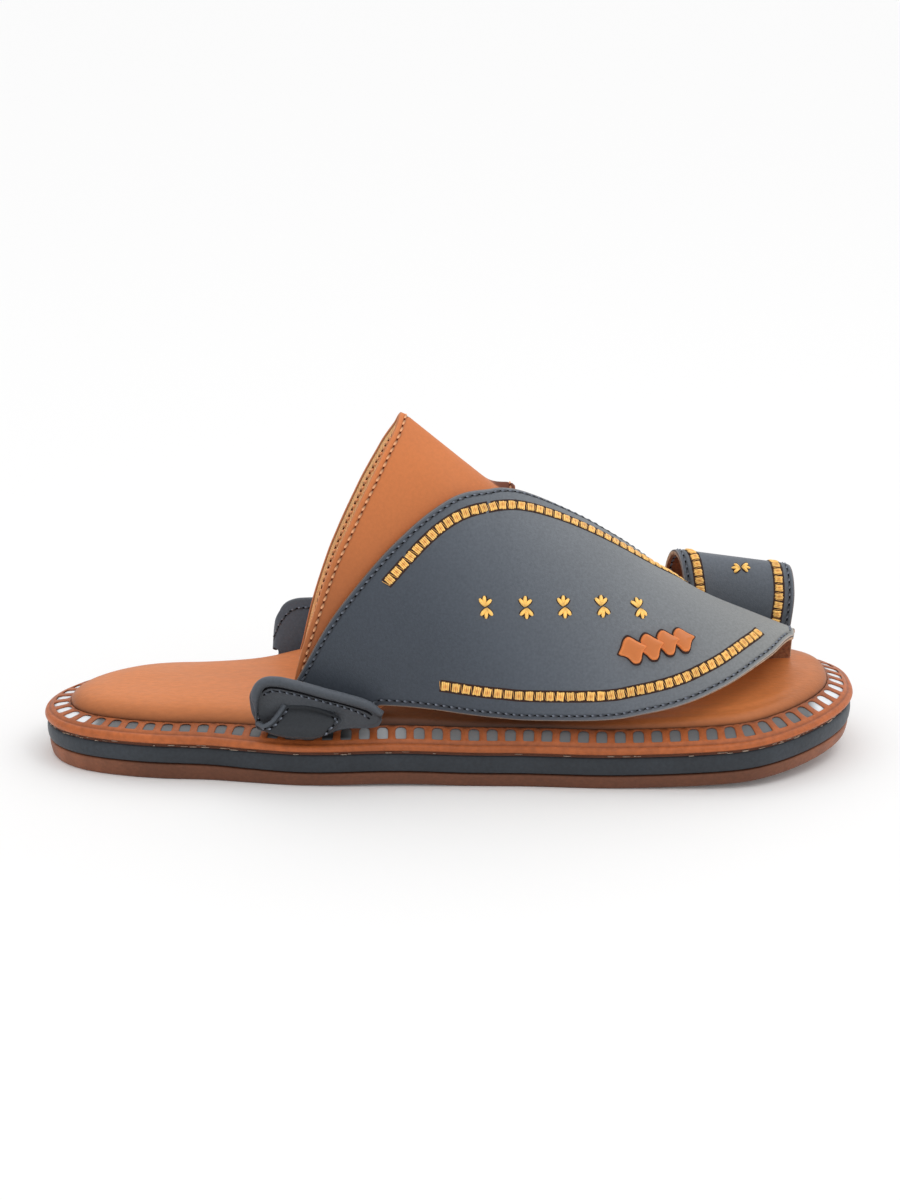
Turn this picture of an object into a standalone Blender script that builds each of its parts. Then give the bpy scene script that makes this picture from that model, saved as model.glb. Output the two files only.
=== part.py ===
import math

import bmesh
import bpy
from mathutils import Vector

for item in list(bpy.data.objects):
    bpy.data.objects.remove(item, do_unlink=True)

# A peaked leather sandal for the right foot. Metres: +X to the toe, +Y to the inner side, floor at Z 0.
LENGTH = 0.290
HEEL_ROUND = 0.050
TOE_ROUND = 0.060
TOE_POWER = 2.5
STATIONS = 72
GAP = 0.0003
WING_GAP = 0.0006

TOE_SPRING = 0.0068
SPRING_START = 0.044
ARCH_RISE = 0.0008
ARCH_BACK = -0.056
ARCH_FRONT = 0.012

WINDOWS = 101
WINDOW_WIDTH = 0.0035
WINDOW_OUTER = 0.0034
WINDOW_INNER = 0.0088
WINDOW_CORNER = 0.0010
WINDOW_FLOOR = 0.0105
WINDOW_DEEP = 0.0090

VAMP_WALL = 0.0022
WING_WALL = 0.0022
LOOP_WALL = 0.0022
EAR_WALL = 0.0024

SOLE_ROWS = (
    dict(along=0.00, lateral=0.0386, medial=0.0374),
    dict(along=0.12, lateral=0.0344, medial=0.0408),
    dict(along=0.20, lateral=0.0354, medial=0.0410),
    dict(along=0.26, lateral=0.0385, medial=0.0407),
    dict(along=0.32, lateral=0.0413, medial=0.0402),
    dict(along=0.38, lateral=0.0423, medial=0.0400),
    dict(along=0.46, lateral=0.0420, medial=0.0405),
    dict(along=0.57, lateral=0.0424, medial=0.0445),
    dict(along=0.70, lateral=0.0450, medial=0.0510),
    dict(along=0.84, lateral=0.0455, medial=0.0545),
    dict(along=1.00, lateral=0.0330, medial=0.0500),
)

# Rings of each sole layer, from the bottom up: how far inside the outline, how far above the sole's line,
# and how much of the cushion's swell and of the heel's wedge they take
OUTSOLE_ROWS = (
    dict(inset=0.0030, height=0.0000, swell=0.0, heel=0.00),
    dict(inset=0.0022, height=0.0012, swell=0.0, heel=0.00),
    dict(inset=0.0015, height=0.0043, swell=0.0, heel=1.00),
    dict(inset=0.0021, height=0.0049, swell=0.0, heel=1.00),
)
MIDSOLE_ROWS = (
    dict(inset=0.0018, height=0.0052, swell=0.0, heel=1.00),
    dict(inset=0.0011, height=0.0058, swell=0.0, heel=1.00),
    dict(inset=0.0008, height=0.0108, swell=0.0, heel=0.65),
    dict(inset=0.0013, height=0.0115, swell=0.0, heel=0.60),
    dict(inset=0.0094, height=0.0153, swell=0.0, heel=-0.50),
)
UNDERLAY_ROWS = (
    dict(inset=0.0033, height=0.0128, swell=0.0, heel=0.40),
    dict(inset=0.0033, height=0.0149, swell=0.0, heel=0.85),
    dict(inset=0.0093, height=0.0178, swell=0.0, heel=-0.70),
    dict(inset=0.0093, height=0.0156, swell=0.0, heel=-0.50),
)
BORDER_ROWS = (
    dict(inset=0.0012, height=0.0127, swell=0.0, heel=0.60),
    dict(inset=0.0003, height=0.0132, swell=0.0, heel=0.60),
    dict(inset=0.0000, height=0.0141, swell=0.0, heel=0.85),
    dict(inset=0.0006, height=0.0153, swell=0.0, heel=1.20),
    dict(inset=0.0022, height=0.0162, swell=0.0, heel=1.20),
    dict(inset=0.0093, height=0.0194, swell=0.0, heel=-0.70),
    dict(inset=0.0093, height=0.0181, swell=0.0, heel=-0.70),
    dict(inset=0.0030, height=0.0153, swell=0.0, heel=0.90),
    dict(inset=0.0030, height=0.0131, swell=0.0, heel=0.40),
)
INSOLE_ROWS = (
    dict(inset=0.0096, height=0.0156, swell=0.0, heel=-0.50),
    dict(inset=0.0096, height=0.0198, swell=0.0, heel=-0.70),
    dict(inset=0.0103, height=0.0212, swell=0.4, heel=-0.50),
    dict(inset=0.0125, height=0.0226, swell=0.9, heel=-0.20),
    dict(inset=0.0160, height=0.0236, swell=1.0, heel=0.00),
    dict(inset=0.0215, height=0.0242, swell=1.0, heel=0.00),
)

# The cushion swells under the inner arch of the foot
SWELL_RISE = 0.0034
SWELL_MIDDLE = -0.030
SWELL_REACH = 0.066
SWELL_SIDE = 0.026

# The outsole grows thicker towards the heel
WEDGE_RISE = 0.0011
WEDGE_FRONT = -0.045
WEDGE_BACK = -0.100

# Sections of the last along the foot. crown is the ridge, lateral and medial are the feet of the saddle,
# post is where the outer wing comes down between the toes, and round is the power of the arch.
LAST_ROWS = (
    dict(x=-0.060, side=0.0000, crown=0.1604, lateral=-0.0298, medial=0.0298, post=0.0298, round=1.50),
    dict(x=-0.016, side=0.0000, crown=0.1235, lateral=-0.0302, medial=0.0300, post=0.0300, round=1.50),
    dict(x=-0.002, side=0.0000, crown=0.1120, lateral=-0.0313, medial=0.0310, post=0.0310, round=1.58),
    dict(x=0.006, side=0.0000, crown=0.1053, lateral=-0.0322, medial=0.0318, post=0.0316, round=1.65),
    dict(x=0.013, side=0.0000, crown=0.1000, lateral=-0.0330, medial=0.0325, post=0.0320, round=1.70),
    dict(x=0.018, side=-0.0001, crown=0.0980, lateral=-0.0336, medial=0.0332, post=0.0316, round=1.76),
    dict(x=0.024, side=-0.0003, crown=0.0953, lateral=-0.0343, medial=0.0340, post=0.0310, round=1.82),
    dict(x=0.044, side=-0.0015, crown=0.0852, lateral=-0.0362, medial=0.0375, post=0.0260, round=1.95),
    dict(x=0.057, side=-0.0025, crown=0.0774, lateral=-0.0370, medial=0.0395, post=0.0210, round=2.00),
    dict(x=0.074, side=-0.0035, crown=0.0652, lateral=-0.0370, medial=0.0405, post=0.0145, round=2.05),
    dict(x=0.089, side=-0.0035, crown=0.0560, lateral=-0.0352, medial=0.0405, post=0.0135, round=2.10),
    dict(x=0.107, side=-0.0025, crown=0.0479, lateral=-0.0295, medial=0.0400, post=0.0135, round=2.10),
    dict(x=0.122, side=-0.0010, crown=0.0412, lateral=-0.0215, medial=0.0390, post=0.0135, round=2.10),
)
LAST_FOOT = 0.0235
POST_FOOT = 0.0248

# Back and front edges of the saddle, by the turn from the ridge (0) down to the foot (1)
VAMP_ROWS = (
    dict(turn=0.00, back=-0.0160, inner_back=-0.0160, front=0.0230),
    dict(turn=0.18, back=-0.0181, inner_back=-0.0182, front=0.0225),
    dict(turn=0.36, back=-0.0241, inner_back=-0.0242, front=0.0205),
    dict(turn=0.53, back=-0.0332, inner_back=-0.0327, front=0.0165),
    dict(turn=0.65, back=-0.0411, inner_back=-0.0398, front=0.0110),
    dict(turn=0.72, back=-0.0452, inner_back=-0.0440, front=0.0070),
    dict(turn=0.86, back=-0.0525, inner_back=-0.0508, front=-0.0030),
    dict(turn=1.00, back=-0.0568, inner_back=-0.0552, front=-0.0140),
)

# Lower and upper edges of the outer wing along the foot, by the turn over the last
WING_LATERAL_ROWS = (
    dict(x=-0.0540, low=-1.000, high=-0.905),
    dict(x=-0.0430, low=-1.000, high=-0.775),
    dict(x=-0.0300, low=-0.990, high=-0.652),
    dict(x=-0.0240, low=-0.952, high=-0.590),
    dict(x=-0.0160, low=-0.954, high=-0.518),
    dict(x=-0.0050, low=-0.962, high=-0.399),
    dict(x=0.0050, low=-0.975, high=-0.277),
    dict(x=0.0160, low=-0.988, high=-0.150),
    dict(x=0.0260, low=-0.996, high=-0.078),
    dict(x=0.0440, low=-0.993, high=-0.018),
    dict(x=0.0570, low=-0.984, high=0.020),
    dict(x=0.0650, low=-0.966, high=0.090),
    dict(x=0.0740, low=-0.938, high=0.270),
    dict(x=0.0840, low=-0.885, high=0.640),
    dict(x=0.0910, low=-0.824, high=1.000),
    dict(x=0.0990, low=-0.727, high=1.000),
    dict(x=0.1110, low=-0.484, high=1.000),
    dict(x=0.1200, low=-0.120, high=1.000),
)
WING_MEDIAL_ROWS = (
    dict(x=-0.0455, low=1.000, high=0.905),
    dict(x=-0.0400, low=1.000, high=0.810),
    dict(x=-0.0300, low=0.985, high=0.690),
    dict(x=-0.0160, low=0.930, high=0.590),
    dict(x=0.0000, low=0.940, high=0.490),
    dict(x=0.0160, low=0.955, high=0.440),
    dict(x=0.0310, low=0.960, high=0.470),
    dict(x=0.0450, low=0.950, high=0.580),
    dict(x=0.0570, low=0.920, high=0.730),
    dict(x=0.0650, low=0.880, high=0.830),
)

# The strap over the big toe: its two feet, and its edges across the foot
LOOP_SIDE = 0.0290
LOOP_OUTER = 0.0172
LOOP_INNER = 0.0425
LOOP_ROUND = 2.3
LOOP_CROWN_BACK = 0.0651
LOOP_CROWN_FRONT = 0.0594
LOOP_ROWS = (
    dict(turn=-1.0, back=0.0876, front=0.1222),
    dict(turn=-0.5, back=0.0853, front=0.1247),
    dict(turn=0.0, back=0.0827, front=0.1238),
    dict(turn=0.5, back=0.0797, front=0.1210),
    dict(turn=1.0, back=0.0787, front=0.1185),
)

# The folded tabs at the feet of the saddle, from the rear edge to the front tip
EAR_LATERAL_ROWS = (
    dict(x=-0.0680, foot=0.0248, top=0.0345, roll=0.0000, lean=0.0055),
    dict(x=-0.0664, foot=0.0208, top=0.0378, roll=0.0010, lean=0.0055),
    dict(x=-0.0626, foot=0.0185, top=0.0402, roll=0.0026, lean=0.0055),
    dict(x=-0.0570, foot=0.0177, top=0.0409, roll=0.0038, lean=0.0055),
    dict(x=-0.0510, foot=0.0175, top=0.0402, roll=0.0042, lean=0.0055),
    dict(x=-0.0430, foot=0.0178, top=0.0384, roll=0.0032, lean=0.0052),
    dict(x=-0.0360, foot=0.0196, top=0.0354, roll=0.0012, lean=0.0042),
    dict(x=-0.0290, foot=0.0220, top=0.0318, roll=0.0000, lean=0.0025),
    dict(x=-0.0225, foot=0.0246, top=0.0280, roll=0.0000, lean=0.0010),
)
EAR_MEDIAL_ROWS = (
    dict(x=-0.0657, foot=0.0240, top=0.0275, roll=0.0000, lean=0.0055),
    dict(x=-0.0649, foot=0.0214, top=0.0302, roll=0.0006, lean=0.0055),
    dict(x=-0.0639, foot=0.0200, top=0.0352, roll=0.0014, lean=0.0055),
    dict(x=-0.0622, foot=0.0189, top=0.0405, roll=0.0024, lean=0.0055),
    dict(x=-0.0590, foot=0.0182, top=0.0431, roll=0.0034, lean=0.0055),
    dict(x=-0.0551, foot=0.0178, top=0.0437, roll=0.0040, lean=0.0055),
    dict(x=-0.0480, foot=0.0176, top=0.0437, roll=0.0042, lean=0.0055),
    dict(x=-0.0400, foot=0.0182, top=0.0416, roll=0.0028, lean=0.0050),
    dict(x=-0.0300, foot=0.0218, top=0.0362, roll=0.0004, lean=0.0030),
    dict(x=-0.0225, foot=0.0246, top=0.0300, roll=0.0000, lean=0.0010),
)
EAR_INSET = 0.0044
EAR_CURL = 1.3
EAR_ROLL_TOP = 0.62
EAR_MEDIAL_EASE = 1.5

# Four small leather diamonds on the outer wing
DIAMOND_ROWS = (
    dict(x=0.0619, turn=-0.688),
    dict(x=0.0687, turn=-0.646),
    dict(x=0.0747, turn=-0.603),
    dict(x=0.0799, turn=-0.561),
)
DIAMOND_HIGH = 0.0044
DIAMOND_LONG = 0.0028
DIAMOND_WAIST = 0.55
DIAMOND_THICK = 0.0013
DIAMOND_TAPER = 0.86

COLOURS = dict(
    outsole=((0.16, 0.065, 0.034), 0.55),
    midsole=((0.045, 0.054, 0.065), 0.60),
    silver=((0.45, 0.46, 0.47), 0.25),
    tan=((0.60, 0.195, 0.062), 0.50),
    slate=((0.070, 0.080, 0.093), 0.55),
)


def read(rows, key, at, column):
    # smooth value of one column between the rows around the given place, with no overshoot
    keys = [row[key] for row in rows]
    values = [row[column] for row in rows]
    if at <= keys[0]:
        return values[0]
    if at >= keys[-1]:
        return values[-1]
    first = 0
    while keys[first + 1] < at:
        first += 1

    def slope(i):
        if i == 0 or i == len(keys) - 1:
            j = min(i, len(keys) - 2)
            return (values[j + 1] - values[j]) / (keys[j + 1] - keys[j])
        before = (values[i] - values[i - 1]) / (keys[i] - keys[i - 1])
        after = (values[i + 1] - values[i]) / (keys[i + 1] - keys[i])
        if before * after <= 0.0:
            return 0.0
        return 2.0 * before * after / (before + after)

    span = keys[first + 1] - keys[first]
    t = (at - keys[first]) / span
    start = values[first] * (1 + 2 * t) * (1 - t) ** 2 + slope(first) * span * t * (1 - t) ** 2
    end = values[first + 1] * t * t * (3 - 2 * t) + slope(first + 1) * span * t * t * (t - 1)
    return start + end


def outline(turn):
    # point on the sole's edge: 0 at the heel, 0.5 at the toe, the outer side first
    angle = math.tau * turn
    along = 0.5 - 0.5 * math.cos(angle)
    lateral = read(SOLE_ROWS, "along", along, "lateral")
    medial = read(SOLE_ROWS, "along", along, "medial")
    heel = max(0.0, 1.0 - along * LENGTH / HEEL_ROUND)
    toe = max(0.0, 1.0 - (1.0 - along) * LENGTH / TOE_ROUND)
    cap = math.sqrt(1.0 - heel ** 2) * (1.0 - toe ** TOE_POWER) ** (1.0 / TOE_POWER)
    side = -1.0 if math.sin(angle) > 0.0 else 1.0
    return Vector((LENGTH * (along - 0.5), 0.5 * (medial - lateral) + 0.5 * (medial + lateral) * cap * side))


def rim(turn, inset):
    ahead = outline(turn + 0.002)
    behind = outline(turn - 0.002)
    way = (ahead - behind).normalized()
    return outline(turn) + Vector((-way.y, way.x)) * inset


def lift(x):
    # the sole's line: flat under heel and ball, a low arch between them, and the toe spring
    rise = 0.0
    if ARCH_BACK < x < ARCH_FRONT:
        rise = ARCH_RISE * math.sin(math.pi * (x - ARCH_BACK) / (ARCH_FRONT - ARCH_BACK)) ** 2
    toe = max(0.0, (x - SPRING_START) / (LENGTH / 2 - SPRING_START))
    return rise + TOE_SPRING * toe ** 2


def swell(x, y):
    along = max(0.0, 1.0 - ((x - SWELL_MIDDLE) / SWELL_REACH) ** 2)
    across = min(max(y / SWELL_SIDE, 0.0), 1.0)
    return SWELL_RISE * along ** 2 * across ** 2


def wedge(x):
    share = min(max((WEDGE_FRONT - x) / (WEDGE_FRONT - WEDGE_BACK), 0.0), 1.0)
    return WEDGE_RISE * share * share * (3.0 - 2.0 * share)


def ring(row):
    points = []
    for k in range(STATIONS):
        spot = rim(k / STATIONS, row["inset"])
        height = row["height"] + row["swell"] * swell(spot.x, spot.y) + row["heel"] * wedge(spot.x)
        points.append(Vector((spot.x, spot.y, lift(spot.x) + height)))
    return points


def section(x, turn, inner="medial"):
    # point on the last: turn -1 at the outer foot, 0 on the ridge, 1 at the inner foot
    side = read(LAST_ROWS, "x", x, "side")
    crown = read(LAST_ROWS, "x", x, "crown")
    power = 2.0 / read(LAST_ROWS, "x", x, "round")
    reach = read(LAST_ROWS, "x", x, "lateral" if turn < 0.0 else inner)
    foot = lift(x) + LAST_FOOT
    if turn > 0.0:
        foot = lift(x) + (POST_FOOT if inner == "post" else LAST_FOOT + swell(x, reach))
    angle = min(abs(turn), 1.0) * math.pi / 2
    across = math.sin(angle) ** power
    up = max(math.cos(angle), 0.0) ** power
    return Vector((x, side + (reach - side) * across, foot + (crown - foot) * up))


def skin(x, turn, out, inner="medial"):
    # the last's surface moved outwards along its own normal
    low = max(turn - 0.01, -1.0)
    high = min(turn + 0.01, 1.0)
    forward = section(x + 0.001, turn, inner) - section(x - 0.001, turn, inner)
    over = section(x, high, inner) - section(x, low, inner)
    return section(x, turn, inner) + forward.cross(over).normalized() * out


def material(name):
    colour, rough = COLOURS[name]
    found = bpy.data.materials.get(name)
    if found is None:
        found = bpy.data.materials.new(name)
        found.use_nodes = True
        shader = found.node_tree.nodes["Principled BSDF"]
        shader.inputs["Base Color"].default_value = (*colour, 1.0)
        shader.inputs["Roughness"].default_value = rough
        shader.inputs["Metallic"].default_value = 0.0
    return found


def piece(name, verts, faces, look):
    mesh = bpy.data.meshes.new(name)
    mesh.from_pydata([tuple(v) for v in verts], [], faces)
    mesh.materials.append(material(look))
    mesh.shade_smooth()
    made = bpy.data.objects.new(name, mesh)
    parts.objects.link(made)
    made.parent = root
    return made


def ladder(first, down):
    # rungs across a closed ring of stations, from heel to toe
    half = STATIONS // 2
    faces = [[first, first + 1, first + STATIONS - 1]]
    for i in range(1, half - 1):
        faces.append([first + i, first + i + 1, first + STATIONS - i - 1, first + STATIONS - i])
    faces.append([first + half - 1, first + half, first + half + 1])
    if down:
        faces = [face[::-1] for face in faces]
    return faces


def walls(rings, closed):
    faces = []
    count = rings if closed else rings - 1
    for r in range(count):
        for k in range(STATIONS):
            low = r * STATIONS
            high = ((r + 1) % rings) * STATIONS
            after = (k + 1) % STATIONS
            faces.append([low + k, low + after, high + after, high + k])
    return faces


def layer(name, rows, look):
    # a full layer of the sole, closed below and above
    verts = []
    for row in rows:
        verts.extend(ring(row))
    faces = walls(len(rows), False)
    faces.extend(ladder(0, True))
    faces.extend(ladder((len(rows) - 1) * STATIONS, False))
    return piece(name, verts, faces, look)


def band(name, rows, look):
    # a band that runs all round the sole with one cross-section
    verts = []
    for row in rows:
        verts.extend(ring(row))
    return piece(name, verts, walls(len(rows), True), look)


def sheet(name, along, across, point, wall, look):
    # an open leather surface given its wall inwards
    verts = []
    for i in range(along + 1):
        for j in range(across + 1):
            verts.append(point(i / along, j / across))
    faces = []
    for i in range(along):
        for j in range(across):
            a = i * (across + 1) + j
            b = a + across + 1
            faces.append([a, b, b + 1, a + 1])
    made = piece(name, verts, faces, look)
    thick = made.modifiers.new("wall", "SOLIDIFY")
    thick.thickness = wall
    thick.offset = -1.0
    thick.use_even_offset = True
    return made


def mix(a, b, t):
    return a + (b - a) * t


parts = bpy.data.collections.new("arabic_sandal")
cutters = bpy.data.collections.new("cutters")
bpy.context.scene.collection.children.link(parts)
bpy.context.scene.collection.children.link(cutters)
root = bpy.data.objects.new("root", None)
parts.objects.link(root)

# The middle of the sole's width stands over the origin
edge = [outline(k / STATIONS).y for k in range(STATIONS)]
root.location.y = -0.5 * (min(edge) + max(edge))

# The sole
layer("outsole", OUTSOLE_ROWS, "outsole")
layer("midsole", MIDSOLE_ROWS, "midsole")
band("underlay", UNDERLAY_ROWS, "silver")
border = band("border", BORDER_ROWS, "tan")
layer("insole", INSOLE_ROWS, "tan")


def window_places():
    # evenly spaced turns round the middle of the border
    steps = 1440
    middle = 0.5 * (WINDOW_OUTER + WINDOW_INNER)
    lengths = [0.0]
    for k in range(steps):
        lengths.append(lengths[-1] + (rim((k + 1) / steps, middle) - rim(k / steps, middle)).length)
    places = []
    k = 0
    for i in range(WINDOWS):
        want = lengths[-1] * (i + 0.5) / WINDOWS
        while lengths[k + 1] < want:
            k += 1
        places.append((k + (want - lengths[k]) / (lengths[k + 1] - lengths[k])) / steps)
    return places


def window_cutter():
    made = bmesh.new()
    half = WINDOW_WIDTH / 2
    plan = (
        (-half, WINDOW_OUTER),
        (half, WINDOW_OUTER),
        (half, WINDOW_INNER - WINDOW_CORNER),
        (half - WINDOW_CORNER, WINDOW_INNER),
        (WINDOW_CORNER - half, WINDOW_INNER),
        (-half, WINDOW_INNER - WINDOW_CORNER),
    )
    for turn in window_places():
        outer = rim(turn, 0.0)
        inward = (rim(turn, 0.01) - outer).normalized()
        way = Vector((inward.y, -inward.x))
        floor = lift(outer.x) + WINDOW_FLOOR
        flat = []
        for across, deep in plan:
            spot = outer + way * across + inward * deep
            flat.append(made.verts.new((spot.x, spot.y, floor)))
        face = made.faces.new(flat)
        raised = bmesh.ops.extrude_face_region(made, geom=[face])
        moved = [v for v in raised["geom"] if isinstance(v, bmesh.types.BMVert)]
        bmesh.ops.translate(made, verts=moved, vec=(0.0, 0.0, WINDOW_DEEP))
    bmesh.ops.recalc_face_normals(made, faces=made.faces)
    mesh = bpy.data.meshes.new("window_cutter")
    made.to_mesh(mesh)
    made.free()
    cutter = bpy.data.objects.new("window_cutter", mesh)
    cutter.hide_render = True
    cutter.display_type = "WIRE"
    cutters.objects.link(cutter)
    cutter.parent = root
    return cutter


cut = border.modifiers.new("windows", "BOOLEAN")
cut.operation = "DIFFERENCE"
cut.solver = "EXACT"
cut.object = window_cutter()


# The upper
def vamp_point(u, v):
    turn = mix(-1.0, 1.0, v)
    back = read(VAMP_ROWS, "turn", abs(turn), "back" if turn < 0.0 else "inner_back")
    front = read(VAMP_ROWS, "turn", abs(turn), "front")
    return section(mix(back, front, u), turn)


def wing_lateral_point(u, v):
    x = mix(WING_LATERAL_ROWS[0]["x"], WING_LATERAL_ROWS[-1]["x"], u)
    low = read(WING_LATERAL_ROWS, "x", x, "low")
    high = read(WING_LATERAL_ROWS, "x", x, "high")
    return skin(x, mix(low, high, v), WING_GAP + WING_WALL, "post")


def wing_medial_point(u, v):
    x = mix(WING_MEDIAL_ROWS[0]["x"], WING_MEDIAL_ROWS[-1]["x"], u)
    low = read(WING_MEDIAL_ROWS, "x", x, "low")
    high = read(WING_MEDIAL_ROWS, "x", x, "high")
    return skin(x, mix(high, low, v), WING_GAP + WING_WALL)


def loop_point(u, v):
    turn = mix(-1.0, 1.0, v)
    back = read(LOOP_ROWS, "turn", turn, "back")
    front = read(LOOP_ROWS, "turn", turn, "front")
    x = mix(back, front, u)
    foot = lift(x) + POST_FOOT
    crown = mix(LOOP_CROWN_BACK, LOOP_CROWN_FRONT, u)
    reach = LOOP_OUTER if turn < 0.0 else LOOP_INNER
    angle = abs(turn) * math.pi / 2
    across = math.sin(angle) ** (2.0 / LOOP_ROUND)
    up = max(math.cos(angle), 0.0) ** (2.0 / LOOP_ROUND)
    return Vector((x, LOOP_SIDE + (reach - LOOP_SIDE) * across, foot + (crown - foot) * up))


def ear_point(u, v, side, rows):
    # side -1 for the outer ear, whose rows run from the front tip back so that its face points out
    x = mix(rows[0]["x"], rows[-1]["x"], u)
    foot = read(rows, "x", x, "foot")
    top = read(rows, "x", x, "top")
    roll = read(rows, "x", x, "roll")
    lean = read(rows, "x", x, "lean")
    rise = v if side < 0.0 else 1.0 - v
    bulge = roll * math.sin(math.pi * min(rise / EAR_ROLL_TOP, 1.0)) ** 2
    edge = read(SOLE_ROWS, "along", 0.5 + x / LENGTH, "lateral" if side < 0.0 else "medial")
    out = edge - EAR_INSET + lean * rise ** EAR_CURL + bulge
    return Vector((x, side * out, lift(x) + mix(foot, top, rise)))


sheet("vamp", 9, 24, vamp_point, VAMP_WALL, "tan")
sheet("wing_lateral", 30, 11, wing_lateral_point, WING_WALL, "slate")
sheet("wing_medial", 18, 6, wing_medial_point, WING_WALL, "slate")
sheet("toe_loop", 6, 18, loop_point, LOOP_WALL, "slate")
sheet("ear_lateral", 13, 8, lambda u, v: ear_point(u, v, -1.0, EAR_LATERAL_ROWS), EAR_WALL, "slate")
sheet("ear_medial", 13, 8, lambda u, v: ear_point(u ** EAR_MEDIAL_EASE, v, 1.0, EAR_MEDIAL_ROWS),
      EAR_WALL, "slate")


def diamond(name, row):
    # a four-pointed leather piece laid flat on the wing's face
    base = skin(row["x"], row["turn"], WING_GAP + GAP + WING_WALL, "post")
    away = (skin(row["x"], row["turn"], 0.01, "post") - base).normalized()
    forward = skin(row["x"] + 0.004, row["turn"], WING_GAP + GAP + WING_WALL, "post") - base
    forward = (forward - away * forward.dot(away)).normalized()
    upward = away.cross(forward)
    plan = []
    for k in range(8):
        waist = 1.0 if k % 2 == 0 else DIAMOND_WAIST
        angle = math.tau * k / 8
        spot = forward * math.cos(angle) * DIAMOND_LONG + upward * math.sin(angle) * DIAMOND_HIGH
        plan.append(spot * waist)
    verts = [base + spot for spot in plan]
    verts.extend(base + spot * DIAMOND_TAPER + away * DIAMOND_THICK for spot in plan)
    faces = [list(range(7, -1, -1)), list(range(8, 16))]
    for k in range(8):
        after = (k + 1) % 8
        faces.append([k, after, 8 + after, 8 + k])
    return piece(name, verts, faces, "tan")


for number, row in enumerate(DIAMOND_ROWS):
    diamond(f"diamond_{number + 1}", row)
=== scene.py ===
import math
from types import SimpleNamespace

import bmesh
import bpy
import numpy as np
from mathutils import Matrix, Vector
from mathutils.bvhtree import BVHTree
from mathutils.kdtree import KDTree


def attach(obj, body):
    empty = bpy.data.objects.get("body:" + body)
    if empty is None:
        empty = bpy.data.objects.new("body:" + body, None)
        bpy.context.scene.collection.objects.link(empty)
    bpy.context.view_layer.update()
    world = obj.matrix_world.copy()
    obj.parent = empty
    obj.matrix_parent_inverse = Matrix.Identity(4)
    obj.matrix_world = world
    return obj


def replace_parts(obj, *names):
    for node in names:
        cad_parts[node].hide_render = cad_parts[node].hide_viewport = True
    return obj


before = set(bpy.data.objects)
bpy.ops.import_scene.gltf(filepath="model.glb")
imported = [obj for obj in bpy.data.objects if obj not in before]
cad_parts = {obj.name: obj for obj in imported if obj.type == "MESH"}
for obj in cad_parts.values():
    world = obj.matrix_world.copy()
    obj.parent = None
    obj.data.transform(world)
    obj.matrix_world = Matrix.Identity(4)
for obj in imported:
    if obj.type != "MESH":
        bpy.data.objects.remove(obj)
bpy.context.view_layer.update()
chance = np.random.default_rng(7)
print("frame loaded,", len(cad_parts), "nodes")

# the sole's line, in metres: x runs to the toe, y to the inner side, the floor is at z 0
sole = {
    "length": 0.290, "heelRound": 0.050, "toeRound": 0.060, "toePower": 2.5, "stations": 480,
    "along": (0.0, 0.12, 0.20, 0.26, 0.32, 0.38, 0.46, 0.57, 0.70, 0.84, 1.0),
    "lateral": (0.0386, 0.0344, 0.0354, 0.0385, 0.0413, 0.0423, 0.0420, 0.0424, 0.0450, 0.0455, 0.0330),
    "medial": (0.0374, 0.0408, 0.0410, 0.0407, 0.0402, 0.0400, 0.0405, 0.0445, 0.0510, 0.0545, 0.0500),
    "toeSpring": 0.0068, "springStart": 0.044, "archRise": 0.0008, "archBack": -0.056, "archFront": 0.012,
    "swellRise": 0.0034, "swellMiddle": -0.030, "swellReach": 0.066, "swellSide": 0.026,
    "wedgeRise": 0.0011, "wedgeFront": -0.045, "wedgeBack": -0.100,
}


def smooth(keys, values, at):  # a smooth curve through a few values, with no overshoot
    keys, values = np.asarray(keys, float), np.asarray(values, float)
    at = np.clip(np.asarray(at, float), keys[0], keys[-1])
    gap = np.diff(keys)
    rate = np.diff(values) / gap
    slope = np.concatenate([rate[:1], np.zeros(len(keys) - 2), rate[-1:]])
    product = rate[:-1] * rate[1:]
    same = product > 0
    slope[1:-1][same] = 2 * product[same] / (rate[:-1] + rate[1:])[same]
    k = np.clip(np.searchsorted(keys, at, side="right") - 1, 0, len(gap) - 1)
    t = (at - keys[k]) / gap[k]
    start = values[k] * (1 + 2 * t) * (1 - t) ** 2 + slope[k] * gap[k] * t * (1 - t) ** 2
    return start + values[k + 1] * t * t * (3 - 2 * t) + slope[k + 1] * gap[k] * t * t * (t - 1)


def ramp(value, start, reach):  # 0 as far as start, then up to 1 over a length
    return np.clip((value - start) / reach, 0, 1)


def span(value, low, high, fadeIn, fadeOut):  # 1 between two values, fading in and out
    return ramp(value, low, fadeIn) * ramp(high - value, 0, fadeOut)


def bell(value, at, wide):  # 1 in the middle, fading away on both sides
    return np.exp(-((value - at) / wide) ** 2)


def outline(turn):  # the sole's edge: 0 at the heel, 0.5 at the toe, the outer side first
    angle = math.tau * np.asarray(turn, float)
    along = 0.5 - 0.5 * np.cos(angle)
    lateral = smooth(sole["along"], sole["lateral"], along)
    medial = smooth(sole["along"], sole["medial"], along)
    heel = np.maximum(0, 1 - along * sole["length"] / sole["heelRound"])
    toe = np.maximum(0, 1 - (1 - along) * sole["length"] / sole["toeRound"])
    power = sole["toePower"]
    reach = np.sqrt(1 - heel ** 2) * (1 - toe ** power) ** (1 / power)
    side = np.where(np.sin(angle) > 0, -1, 1)
    y = 0.5 * (medial - lateral) + 0.5 * (medial + lateral) * reach * side
    return np.stack([sole["length"] * (along - 0.5), y], -1)


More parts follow.
